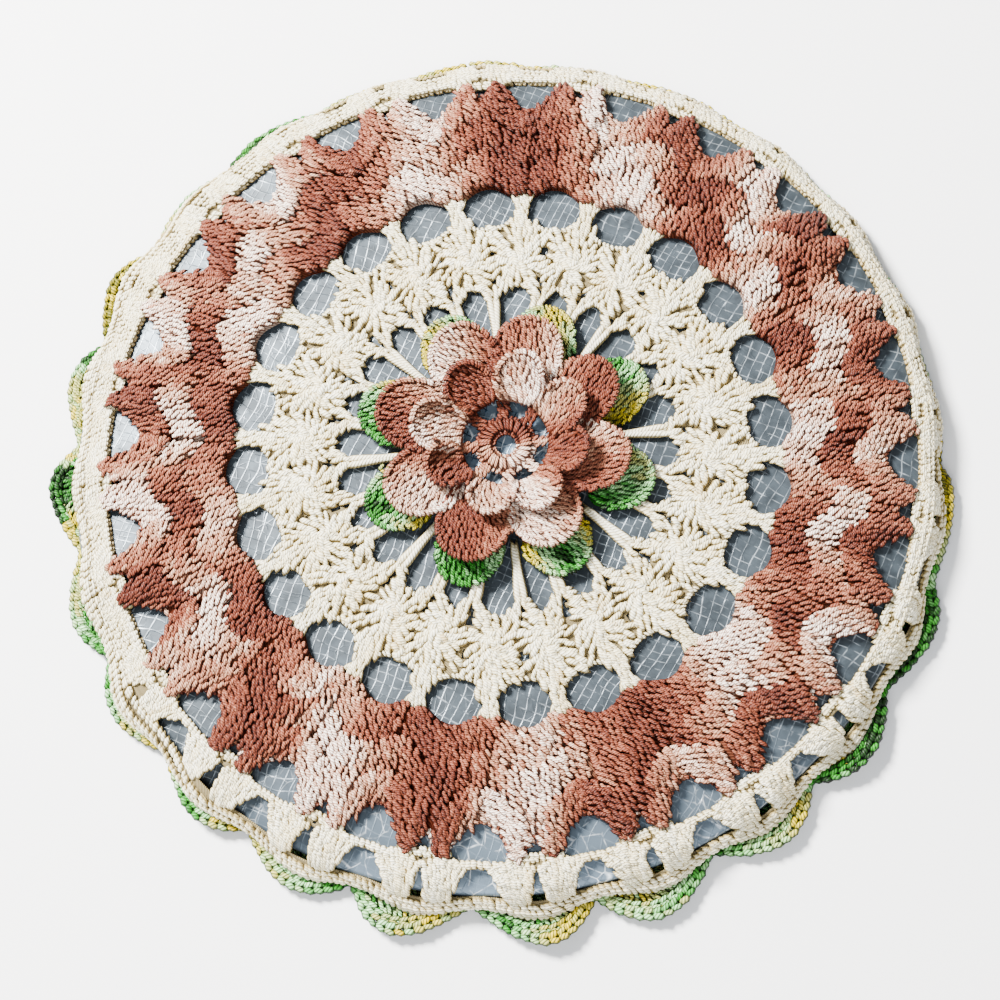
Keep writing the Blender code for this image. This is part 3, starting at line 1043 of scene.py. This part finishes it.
def rim_facing(places, share):
    """Unit normals of the border, which stands off the rim at its edge."""
    across = on_rim(places, share + 0.03, 0.0) - on_rim(places, share - 0.03, 0.0)
    ahead = on_rim(places + 0.01, share, 0.0) - on_rim(places - 0.01, share, 0.0)
    ups = np.cross(ahead, across)
    return ups / np.linalg.norm(ups, axis=-1, keepdims=True)


def work_body(work, cell, start, end, apex):
    """Stitches that rise from the bar and come together under the edge."""
    turn = np.linspace(-1, 1, BODY_STITCHES)
    base = cell + (start + end) / 2 + turn * (end - start) / 2
    foot = spots_at(base, 0.12 + (BAR_SHARE - 0.12) * np.abs(turn) ** 1.5)
    head = spots_at(cell + apex + turn * 0.08, 0.78 - 0.04 * np.abs(turn))
    tall_stitches(work, on_rim, foot, head, (0.3, 0.2), cream_tone(turn), width=1.15, lean=0.5)


def work_border():
    work = Crochet()
    share = np.linspace(-1, 1, 17)
    for cell in UNIT_CELLS:
        for start, end, apex in BODIES:
            work_body(work, cell + random.normal(0, 0.012), start, end, apex)
        for low, centre, half, lift, width, reach, lean in BARS:
            line = on_rim(cell + centre + half * share, low + BAR_SAG * share**2, lift)
            roll(work, line, UP, cream_tone(cell), width=width, pitch=1.1, reach=reach, lean=lean, bow=0.4)
    for share, first, last in FILLERS:
        places = np.linspace(first, last, int(24 * (last - first)))
        line = on_rim(places, share + 0.015 * np.sin(places * 5.3), 0.75)
        ups = rim_facing(places, share)
        roll(work, line, ups, 0.72, width=1.1, pitch=1.15, reach=1.0, lean=1.9, bow=0.4)
    # A row of tan grains along the inside of the bar, from the lower left over the top to the right: real
    # stitches, dyed darker as painted shade under the bar.
    places = np.linspace(16.0, 31.5, 370)
    line = on_rim(places, 0.17 + 0 * places, -0.1)
    roll(work, line, UP, 0.3, width=1.1, pitch=1.1, reach=1.4, lean=1.3, bow=0.3)
    edge = np.linspace(0, CELLS, CELLS * 24, endpoint=False)
    wave = 0.025 * np.cos(FULL_TURN * (edge - WAVE_START))
    for share, lift in EDGE_ROLLS:
        line = on_rim(edge, share + wave, lift)
        ups = rim_facing(edge, share)
        roll(work, line, ups, 0.75, width=1.35, pitch=1.3, reach=2.2, lean=1.9, bow=0.6, closed=True)
    return work.finish("border_stitches", "cream_cotton")


border_stitches = work_border()

# %% Lay the border's ground
BORDER_COLUMNS, BORDER_ROWS = 32, 16


def border_open(column, row):
    """Gaps below the bar all round, and eyelets between the fans only at the bottom."""
    place, share = column / BORDER_COLUMNS, row / BORDER_ROWS
    lower = 8 < place < 16
    if share < 0.2:
        return abs(place % 1 - 0.54) < 0.25
    if 15.8 < place < 22.6 or share < 0.52 and not lower:
        return False
    if abs(share - BAR_SHARE) < 0.05 or share > EDGE_SHARE - 0.06:
        return False
    rise = (share - 0.1) / (EDGE_SHARE - 0.1)
    for start, end, apex in BODIES:
        middle = (start + end) / 2 * (1 - rise) + apex * rise
        half = (end - start) / 2 * (1 - rise) ** 1.3 + 0.08
        if abs((place - middle + 0.5) % 1 - 0.5) < half - 0.03:
            return False
    return True


border_ground = ground_sheet(
    "border_ground", "border", "cream_cotton", (CELLS * BORDER_COLUMNS, BORDER_ROWS),
    lambda column, row: on_rim(column / BORDER_COLUMNS, row / BORDER_ROWS, 0.05),
    plain_tone, is_open=border_open,
)

# %% [markdown]
# ## Edging
#
# Green scallops spread out from under the border, one to a cell. They are longest at
# the bottom, turned up against the rim on the left, and no two are quite alike. Each is
# a fan of stitches with a braided edge.
# %% Shape of the scallops
EDGING_INNER, EDGING_TROUGH = 92.6, 96.8
SCALLOP_REACHES = (
    98.2, 97.0, 97.0, 96.5, 96.0, 95.8, 96.0, 98.4, 100.8, 102.6, 103.4, 105.2,
    105.4, 105.0, 102.6, 101.0, 100.2, 99.6, 100.4, 100.0, 100.2, 98.4, 98.6, 97.0,
)
SCALLOP_LIFTS = (
    0.3, 0.1, 0.4, 0.2, 0.5, 0.2, 0.4, 0.8, 0.3, 1.4, 0.6, 0.2,
    1.0, 0.5, 0.3, 1.3, 0.2, 0.6, 1.2, 0.3, 0.8, 0.2, 0.5, 0.7,
)
SCALLOP_SKEWS = (
    0.1, -0.1, 0.05, 0.12, -0.08, 0.0, 0.1, -0.12, -0.1, 0.05, -0.05, 0.03,
    -0.1, 0.1, -0.05, -0.1, 0.0, -0.08, 0.12, 0.14, 0.1, 0.1, 0.0, -0.05,
)
EDGING_FLOOR, EDGING_UPTURN = 0.35, 2.6
TABLE_RADIUS = 97.4
GREEN_CHART = (
    # place, dye: 0 dark green, 0.2 green, 0.4 mint, 0.6 olive cream, 0.8 yellow, 1 olive
    (0.0, 0.8), (1.0, 0.6), (1.9, 0.95), (2.8, 0.6), (4.0, 0.2), (5.0, 0.5), (6.1, 0.95), (7.1, 0.05),
    (8.2, 0.05), (8.7, 0.1), (8.9, 0.2), (9.2, 0.8), (9.6, 0.45), (10.0, 0.2), (10.5, 0.35), (11.0, 0.55),
    (11.6, 0.8), (12.0, 0.2), (12.3, 0.4), (12.7, 0.75), (13.2, 0.4), (13.6, 0.15), (14.1, 0.45),
    (14.7, 0.8), (15.15, 0.15), (15.5, 0.8), (15.9, 0.6), (16.2, 0.4), (16.6, 0.15), (16.85, 0.2),
    (17.0, 0.45), (17.3, 0.6), (17.6, 0.62), (17.78, 0.8), (17.88, 0.8), (17.98, 0.03), (18.4, 0.05),
    (18.5, 0.8), (18.6, 0.62), (19.3, 0.62), (19.45, 0.03), (19.7, 0.05), (19.8, 0.97), (20.4, 0.97),
    (20.6, 0.6), (21.0, 0.6), (22.0, 0.05), (23.0, 0.6),
)


def green_dye(place):
    places, tones = np.array(GREEN_CHART).T
    places = np.concatenate([places - CELLS, places, places + CELLS])
    return np.interp(np.asarray(place, float) % CELLS, places, np.tile(tones, 3))


def scallop_lobe(place):
    """0 between two scallops and 1 at the point of one, which leans to one side."""
    offset = (place + 0.5) % 1 - 0.5
    skew = np.array(SCALLOP_SKEWS)[np.round(place).astype(int) % CELLS]
    return 1 - np.clip(2 * np.abs(offset - skew * (1 - 4 * offset**2)), 0, 1) ** 1.8


def leftness(place):
    """1 at the left of the pad, and 0 over its right half."""
    return np.maximum(-np.cos(cell_angle(place)), 0) ** 2


def scallop_radius(place):
    reach = np.array(SCALLOP_REACHES)[np.round(place).astype(int) % CELLS]
    trough = np.minimum(EDGING_TROUGH - 2.4 * leftness(place), reach - 0.8)
    return trough + (reach - trough) * scallop_lobe(place)


def on_edging(place, share, lift):
    """A point of the edging, around the pad's own centre."""
    place, share = np.broadcast_arrays(np.asarray(place, float), np.asarray(share, float))
    inner = EDGING_INNER + 2.2 * leftness(place)
    radius = inner + (scallop_radius(place) - inner) * share
    curl = np.array(SCALLOP_LIFTS)[np.round(place).astype(int) % CELLS]
    share = np.clip(share, 0, 1)
    height = EDGING_FLOOR + lift + curl * scallop_lobe(place) * share**2
    height = height + 0.1 * np.maximum(radius - TABLE_RADIUS, 0)
    height = height + EDGING_UPTURN * leftness(place) * (1 - share) ** 2
    angle = cell_angle(place)
    return np.stack([radius * np.cos(angle), radius * np.sin(angle), height], axis=-1)


# %% Work the edging
EDGING_COLUMNS, EDGING_ROWS = 14, 5
SCALLOP_BRAIDS = (
    # share of the way out, lift, width
    (0.84, 0.9, 1.15), (0.99, 0.9, 1.5),
)


def work_edging():
    work = Crochet()
    share = np.linspace(-0.93, 0.93, 11)
    for cell in UNIT_CELLS:
        foot, head = spots_at(cell + 0.34 * share, 0.1), spots_at(cell + 0.46 * share, 0.9)
        tall_stitches(work, on_edging, foot, head, (0.35, 0.5), green_dye(head[:, 0]), lift=0.4)
    edge = np.linspace(0, CELLS, CELLS * 40, endpoint=False)
    for share, lift, width in SCALLOP_BRAIDS:
        line = on_edging(edge, share, lift)
        braid(work, line, lambda stop: green_dye(stop * CELLS), width=width, pitch=2.0)
    return work.finish("edging_stitches", "green_cotton")


edging_stitches = work_edging()
edging_ground = ground_sheet(
    "edging_ground", "edging", "green_cotton", (CELLS * EDGING_COLUMNS, EDGING_ROWS),
    lambda column, row: on_edging(column / EDGING_COLUMNS - 0.5, 0.95 * row / EDGING_ROWS, 0.0),
    lambda column, row: green_dye(column / EDGING_COLUMNS - 0.5),
)

# %% [markdown]
# ## Rose
#
# Eight small petals lie on eight large ones, with a ring of leaves beneath and a round
# eye in the middle. A petal is a fan of stitches out of one loop. All of them share one
# shape function, and a short table says how each differs from the next.
# %% Shape of a petal
PETALS = 8
PETAL_KINDS = {
    # radii at both ends, heights there, dome, cup, half angle, fall of the corners, then the
    # number of stitches, how far their columns lie apart, and the flat size in metres
    "inner_petal": dict(
        start=9.6, end=19.2, foot=11.6, tip=14.8, dome=1.0, cup=1.9, half=26.0, drop=0.50,
        stitches=9, spread=(0.15, 0.42), flat=(0.0115, 0.0120),
    ),
    "outer_petal": dict(
        start=11.0, end=28.2, foot=10.7, tip=12.2, dome=1.8, cup=1.6, half=28.0, drop=0.50,
        stitches=13, spread=(0.15, 0.45), flat=(0.0190, 0.0190),
    ),
    "leaf": dict(
        start=21.0, end=33.4, foot=9.6, tip=9.8, dome=0.4, cup=0.3, half=19.0, drop=0.55,
        stitches=10, spread=(0.3, 0.48), flat=(0.0190, 0.0230),
    ),
}
PETAL_ROWS = {
    # for each petal: turn in cells, reach, curl, and dye at the left, middle and right
    "inner_petal": (
        (-0.3, 1.04, 0.8, 0.65, 0.8, 0.98), (-0.2, 1.06, 0.4, 0.75, 0.55, 0.2),
        (-0.4, 0.95, 0.9, 0.15, 0.1, 0.3), (-0.4, 0.95, 1.2, 0.3, 0.85, 0.95),
        (-0.4, 0.86, 0.5, 0.75, 0.7, 0.7), (0.0, 0.9, 1.2, 0.1, 0.12, 0.6),
        (-0.4, 1.14, 1.0, 0.92, 0.75, 0.6), (-0.4, 1.0, 0.4, 0.22, 0.1, 0.25),
    ),
    "outer_petal": (
        (-0.3, 1.04, 0.5, 0.12, 0.5, 0.96), (-0.4, 1.0, 0.8, 0.6, 0.12, 0.2),
        (-0.4, 0.97, 0.6, 0.85, 0.45, 0.08), (-0.1, 0.92, 0.3, 0.3, 0.85, 0.85),
        (0.1, 1.02, 0.2, 0.55, 0.1, 0.15), (0.0, 1.0, 0.4, 0.9, 0.8, 0.2),
        (0.0, 1.06, 0.6, 0.06, 0.18, 0.8), (0.1, 1.04, 0.8, 0.95, 0.75, 0.08),
    ),
    "leaf": (
        (0.0, 1.0, 0.2, 0.02, 0.8, 0.45), (0.0, 1.05, 0.3, 0.05, 0.42, 0.85),
        (0.0, 1.0, 0.5, 0.6, 0.4, 0.12), (0.0, 0.92, 0.1, 0.82, 0.05, 0.82),
        (0.0, 0.96, 0.3, 0.4, 0.12, 0.2), (0.0, 1.0, 0.4, 0.82, 0.02, 0.6),
        (0.0, 1.03, 0.2, 0.12, 0.2, 0.85), (0.0, 0.97, 0.3, 0.85, 0.6, 0.15),
    ),
}
ROSE_TURN = 1.5


def petal_surface(kind, number):
    """A function from place across (-1 to 1), share along and lift to points."""
    shape = PETAL_KINDS[kind]
    turn, reach, curl = PETAL_ROWS[kind][number][:3]
    middle = cell_angle(ROSE_TURN + number * CELLS / PETALS + turn)
    start, foot = shape["start"], shape["foot"]
    end = start + (shape["end"] - start) * reach

    def surface(across, along, lift):
        across, along = np.broadcast_arrays(np.asarray(across, float), np.asarray(along, float))
        narrow = 0.8 + 0.2 * np.sin(math.pi * np.clip(along, 0, 1) ** 0.8)
        angle = middle - math.radians(shape["half"]) * across * narrow
        edge = end - (end - start) * shape["drop"] * np.abs(across) ** 2.4
        radius = start + (edge - start) * along
        height = foot + (shape["tip"] - foot) * ((radius - start) / (end - start))
        along = np.clip(along, 0, 1.1)
        height = height + shape["dome"] * (1 - across**2) * np.sin(math.pi * 0.75 * along)
        height = height + shape["cup"] * np.maximum(across**4, along**6)
        curled = np.abs(across) ** 3 * 0.8 + 1.1 * along**3 * np.sin(2.6 * across + number)
        x, y = LACE_SHIFT + radius * np.cos(angle), radius * np.sin(angle)
        return np.stack([x, y, height + curl * curled + lift], axis=-1)

    return surface


# %% Work the petals and leaves
PETAL_COLUMNS, PETAL_LINES = 10, 6


def work_petal(kind, number, slot, node):
    """The stitches of one petal or leaf, and the sheet below them."""
    surface = petal_surface(kind, number)
    shape, tones = PETAL_KINDS[kind], PETAL_ROWS[kind][number][3:]

    def dye(across):
        return np.interp(across, (-1, 0, 1), tones)

    def ground_point(column, row):
        return surface((2 * column / PETAL_COLUMNS - 1) * 0.96, row / PETAL_LINES * 0.97, -0.05)

    work = Crochet()
    share = np.linspace(-0.92, 0.92, shape["stitches"])
    foot, head = spots_at(share * 0.85, 0.03), spots_at(share, 0.93)
    looks = dict(lift=0.3, width=0.95, pitch=1.6, lean=0.55)
    tall_stitches(work, surface, foot, head, shape["spread"], dye(share), **looks)
    line = surface(np.linspace(-1.0, 1.0, 50), 0.97, 0.55)
    roll(work, line, UP, lambda stop: dye(2 * stop - 1), reach=1.9, lean=0.9, bow=0.6)
    stitched = work.finish(f"{kind}_{number + 1}_stitches", slot)
    sheet = ground_sheet(
        f"{kind}_ground_{number + 1}", f"{node}_{number + 1}", slot, (PETAL_COLUMNS, PETAL_LINES),
        ground_point, lambda column, row: dye(2 * column / PETAL_COLUMNS - 1), closed=False,
    )
    return kind, sheet, stitched


rose_pieces = []
for kind, node, slot in (
    ("leaf", "leaf", "green_cotton"),
    ("outer_petal", "petal_outer", "brown_cotton"),
    ("inner_petal", "petal_inner", "brown_cotton"),
):
    for number in range(PETALS):
        rose_pieces.append(work_petal(kind, number, slot, node))
print("petals and leaves:", len(rose_pieces))

# %% [markdown]
# ### The eye of the rose
#
# A ring of stitches round a small hole, with eight bars out to the petals.
# %% Work the eye
EYE_HOLE, EYE_RADIUS, EYE_REACH, EYE_FLOOR = 2.4, 6.6, 11.5, 9.6
EYE_DYES = (0, 5, 7, 12, 18, 21, 24), (0.1, 0.12, 0.9, 0.75, 0.5, 0.15, 0.1)
EYE_ROLLS = (
    # radius, lift, reach and lean of the grains
    ((EYE_HOLE + EYE_RADIUS) / 2, 0.5, EYE_RADIUS - EYE_HOLE, 0.9),
    (EYE_HOLE + 0.4, 0.5, 1.4, 0.9),
    (EYE_RADIUS - 0.5, 0.3, 1.8, -0.9),
)
EYE_COLUMNS, EYE_ROWS = 2, 5


def on_eye(place, radius, lift):
    angle = cell_angle(place)
    dome = 1.0 * np.sin(math.pi * np.clip((radius - EYE_HOLE) / (EYE_RADIUS - EYE_HOLE), 0, 1))
    rise = 1.6 * np.clip((radius - EYE_RADIUS) / (EYE_REACH - EYE_RADIUS), 0, 1)
    x, y = LACE_SHIFT + radius * np.cos(angle), radius * np.sin(angle)
    return np.stack([x, y, EYE_FLOOR + dome + rise + lift], axis=-1)


def eye_dye(place):
    return np.interp(np.asarray(place, float) % CELLS, *EYE_DYES)


def work_eye():
    work = Crochet()
    around = np.linspace(0, CELLS, 96, endpoint=False)
    for radius, lift, reach, lean in EYE_ROLLS:
        line = on_eye(around, np.full(len(around), radius), lift)
        roll(work, line, UP, lambda share: eye_dye(share * CELLS), reach=reach, lean=lean, closed=True)
    for number in range(PETALS):
        centre = number * CELLS / PETALS
        foot = spots_at(centre + np.array([-0.25, 0.25]), EYE_RADIUS - 0.6)
        head = spots_at(centre + np.array([-0.15, 0.15]), EYE_REACH)
        tall_stitches(work, on_eye, foot, head, (0.3, 0.3), eye_dye(foot[:, 0]), width=0.9, lift=0.4)
    return work.finish("eye_stitches", "brown_cotton")


def eye_ground_point(column, row):
    across = EYE_RADIUS - EYE_HOLE - 0.9
    return on_eye(column / EYE_COLUMNS, EYE_HOLE + 0.3 + across * row / EYE_ROWS, 0.0)


eye_stitches = work_eye()
eye_ground = ground_sheet(
    "eye_ground", "rose_eye", "brown_cotton", (CELLS * EYE_COLUMNS, EYE_ROWS),
    eye_ground_point, lambda column, row: eye_dye(column / EYE_COLUMNS),
)

# %% [markdown]
# ## Back
#
# The back is brown crochet in plain rounds. It lies on the table and shows only between
# the scallops, so its rounds are low ridges, with stitches along the last round.
# %% Work the back
BACK_RADIUS = back_high[0]
BACK_ROUND = 4.2
BACK_COLUMNS, BACK_ROWS = 5, 88


def on_back(place, radius, lift):
    angle = cell_angle(place)
    place, radius = np.broadcast_arrays(np.asarray(place, float), np.asarray(radius, float))
    return np.stack([radius * np.cos(angle), radius * np.sin(angle), 0 * radius + lift], axis=-1)


def work_back():
    work = Crochet()
    outer = BACK_RADIUS - 0.4
    count = int(FULL_TURN * outer / 2.4)
    place = np.arange(count) * CELLS / count
    foot, head = spots_at(place, outer - BACK_ROUND), spots_at(place + 0.03, outer)
    tone = 0.12 + 0.1 * np.sin(place * 2.2)
    tall_stitches(work, on_back, foot, head, (0.5, 0.5), tone, width=1.1)
    return work.finish("back_stitches", "brown_cotton")


def back_ground_point(column, row):
    radius = BACK_RADIUS * row / BACK_ROWS
    ridge = 0.25 * np.abs(np.sin(math.pi * radius / BACK_ROUND))
    return on_back(column / BACK_COLUMNS, radius, ridge * (radius < BACK_RADIUS - 0.5))


back_stitches = work_back()
back_ground = ground_sheet(
    "back_ground", "back_cover", "brown_cotton", (CELLS * BACK_COLUMNS, BACK_ROWS),
    back_ground_point, lambda column, row: 0.2 + 0.15 * np.sin(column * 0.9 + row * 0.35),
    thick=1.1, material=threads["brown_cotton"],
)

# %% [markdown]
# ## Foil
#
# The pad is covered with thin foil, embossed with a fine diamond net and creased where
# it was folded over the rim. The broad creases are modelled. The material bumps the net
# and the fine creases and paints their lines lighter, as painted glints. It is dull over
# most of the top, and painted brighter in the middle, under the rose, as painted light,
# and by the front rim, as painted reflection.
# %% Foil material
NET_PITCH, NET_LINE, NET_TURNS = 2.1, 0.09, (28, 118)


def foil_material():
    made, tree, shader = new_material("embossed foil", 0.36)
    shader.inputs["Metallic"].default_value = 0.5
    place = add_node(tree, "TexCoord", "Object", {})
    warp = noise(tree, place, 45, output="Color")
    bent = add_node(tree, "VectorMath", 0, {0: warp, 1: [0.009] * 3, 2: place}, operation="MULTIPLY_ADD")
    ridges = []
    for degrees in NET_TURNS:
        turn = {"Vector": bent, "Rotation": (0, 0, math.radians(degrees))}
        across = add_node(tree, "SeparateXYZ", "X", {0: add_node(tree, "Mapping", 0, turn)})
        cells = calculate(tree, "MULTIPLY", across, 1 / (NET_PITCH * MM))
        saw = calculate(tree, "PINGPONG", cells, 0.5)
        ridges.append(ranged(tree, saw, 0.0, NET_LINE, 1.0, 0.0, smooth=True))
    net = calculate(tree, "MAXIMUM", *ridges)
    # Pale net lines: painted glints on the embossing, where the noise shows them.
    shown = ranged(tree, noise(tree, place, 420), 0.42, 0.62)
    net_glint = calculate(tree, "MULTIPLY", net, shown)
    grey = mixed(tree, net_glint, (0.042, 0.054, 0.064, 1), (0.27, 0.31, 0.34, 1))
    dapple = ranged(tree, noise(tree, place, 300, 3), 0.35, 0.65, 0.75, 1.4)
    dull = mixed(tree, 1.0, grey, dapple, blend_type="MULTIPLY")

    crease = {"Vector": bent, "Scale": 300}
    crease = add_node(tree, "TexVoronoi", "Distance", crease, feature="DISTANCE_TO_EDGE")
    fold = calculate(tree, "MULTIPLY", ranged(tree, crease, 0.0, 0.05, 1.0, 0.0), shown)
    # A brighter foil colour with pale crease lines, painted glints; the next lines put it in the middle,
    # under the rose, as painted light, and by the front rim, as painted reflection.
    painted_sheen = mixed(tree, fold, (0.11, 0.15, 0.19, 1), (0.7, 0.76, 0.8, 1))
    forward = add_node(tree, "SeparateXYZ", "Y", {0: place})
    rim = ranged(tree, forward, -62 * MM, -92 * MM)
    reach = add_node(tree, "VectorMath", "Value", {0: place}, operation="LENGTH")
    under_rose_painted_light = ranged(tree, reach, 17 * MM, 13 * MM, 0.0, 2.2)
    painted_light_share = calculate(tree, "MAXIMUM", rim, under_rose_painted_light)
    tone = mixed(tree, painted_light_share, dull, painted_sheen, clamp_factor=False)
    tree.links.new(tone, shader.inputs["Base Color"])
    relief = add_node(tree, "Math", 0, {0: fold, 1: 0.8, 2: net}, operation="MULTIPLY_ADD")
    raise_bump(tree, shader, relief, 0.5, 0.06 * MM)
    return made


# %% Shape the foil skin
FOIL_COLUMNS, TOP_ROWS, TURN_ROWS, UNDER_ROWS = 180, 40, 8, 16
FOIL_ROWS = TOP_ROWS + TURN_ROWS + UNDER_ROWS
RIM_ROUNDING, RIM_BULGE = 3.5, 2.0


def foil_section():
    """Radius and height from the middle of the top, over the rim, to the underside."""
    top = PAD_RADIUS * np.sin(np.linspace(0, math.pi / 2, TOP_ROWS + 1)) ** 0.9
    turn = np.linspace(0, math.pi / 2, TURN_ROWS + 1)[1:]
    side = PAD_RADIUS - RIM_ROUNDING * (1 - np.cos(turn))
    side_height = PAD_MIDDLE - (PAD_MIDDLE - PAD_FLOOR) * np.sin(turn)
    under = np.linspace(side[-1], 0, UNDER_ROWS + 1)[1:]
    heights = np.concatenate([pad_height(top), side_height, np.full(UNDER_ROWS, PAD_FLOOR)])
    return np.concatenate([top, side, under]), heights


foil_radii, foil_heights = foil_section()


def foil_point(column, row):
    row = np.round(row).astype(int)
    angle = column * FULL_TURN / FOIL_COLUMNS
    radius, height = foil_radii[row], foil_heights[row]
    top_bulge = np.clip((radius - 87.5) / 6.5, 0, 1) ** 2
    side_bulge = (height - PAD_FLOOR) / (PAD_MIDDLE - PAD_FLOOR)
    bulge = np.where(row <= TOP_ROWS, top_bulge, side_bulge)
    radius = radius + RIM_BULGE * bulge * np.maximum(-np.sin(angle), 0)
    x, y = radius * np.cos(angle), radius * np.sin(angle)
    crumple = 0.12 * np.sin(x * 0.61 + 2 * np.sin(y * 0.37)) * np.sin(y * 0.53 + 1.6 * np.sin(x * 0.29))
    pleat = 0.16 * np.sin(angle * 67 + 2 * np.sin(angle * 9)) * np.clip((radius - 84) / 8, 0, 1)
    dent = np.where(row <= TOP_ROWS, crumple - 0.12 + pleat, 0.0)
    return np.stack([x, y, height + dent], axis=-1)


foil_skin = add_grid("foil_skin", FOIL_COLUMNS, FOIL_ROWS)
bend_grid(foil_skin.data, FOIL_COLUMNS, FOIL_ROWS, foil_point)
edit_whole(bpy.ops.mesh.remove_doubles, threshold=0.02 * MM)
edit_whole(bpy.ops.mesh.normals_make_consistent, inside=False)
foil_skin.data.shade_smooth()
foil_skin.data.materials.append(foil_material())
settle(foil_skin, "foil")
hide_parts("foil_pad")
print("foil skin:", len(foil_skin.data.polygons), "faces")

def declare(sheet, width, length):
    area = flat_area(sheet)
    print(f"{sheet.name}: {width * 1000:.0f} by {length * 1000:.0f} mm, {area * 1e4:.1f} square cm")


declare(back_ground, 0.185, 0.185)
declare(ripple_ground, 0.178, 0.178)
declare(field_ground, 0.116, 0.116)
declare(border_ground, 0.014, 0.58)
declare(edging_ground, 0.010, 0.61)
declare(eye_ground, 0.016, 0.016)
for kind, sheet, stitched in rose_pieces:
    width, length = PETAL_KINDS[kind]["flat"]
    declare(sheet, width, length)

# %% [markdown]
# ## Camera, floor and light
#
# The photograph looks down on the pot holder from its lower side, turned by a few
# degrees. The camera stands where the ring of holes has the same shape as there.
# %% Camera
CAMERA_PLACE = Vector((27.5, -143.4, 420.6)) * MM
CAMERA_TARGET = Vector((0.2, -12.4, 10.3)) * MM
CAMERA_ROLL = math.radians(4.43)
LENS, SENSOR = 72, 36

camera_data = bpy.data.cameras.new("camera")
camera_data.lens = LENS
camera_data.sensor_width = SENSOR
camera = bpy.data.objects.new("camera", camera_data)
bpy.context.scene.collection.objects.link(camera)
back = (CAMERA_PLACE - CAMERA_TARGET).normalized()
level = Vector((0, 1, 0)).cross(back).normalized()
upright = back.cross(level)
right = level * math.cos(CAMERA_ROLL) - upright * math.sin(CAMERA_ROLL)
upright = back.cross(right)
camera.matrix_world = Matrix.Translation(CAMERA_PLACE) @ Matrix((right, upright, back)).transposed().to_4x4()
bpy.context.scene.camera = camera
print("camera looks along", [round(value, 3) for value in -back])

# %% Floor and lights
deselect_all()
bpy.ops.mesh.primitive_plane_add(size=6, location=(0, 0, -0.0002))
floor = bpy.context.object
floor.name = "floor"
pale, _, pale_shader = new_material("pale floor", 0.9)
pale_shader.inputs["Base Color"].default_value = (0.93, 0.93, 0.93, 1)
floor.data.materials.append(pale)

world = bpy.data.worlds.new("soft room")
world.use_nodes = True
background = world.node_tree.nodes["Background"]
background.inputs["Color"].default_value = (0.92, 0.95, 1.0, 1)
background.inputs["Strength"].default_value = 0.5
bpy.context.scene.world = world


def area_light(name, place, size, power, tint):
    """A round lamp that points at the origin, the middle of the underside."""
    data = bpy.data.lights.new(name, "AREA")
    data.shape = "DISK"
    data.size = size
    data.energy = power
    data.color = tint
    lamp = bpy.data.objects.new(name, data)
    lamp.location = place
    lamp.rotation_euler = (-Vector(place)).to_track_quat("-Z", "Y").to_euler()
    bpy.context.scene.collection.objects.link(lamp)


area_light("key", (-0.55, 0.5, 0.75), 0.3, 85, (1.0, 0.985, 0.96))
area_light("fill", (-0.1, -0.8, 0.75), 0.9, 12, (0.95, 0.97, 1.0))
print("two soft lights and a pale room")
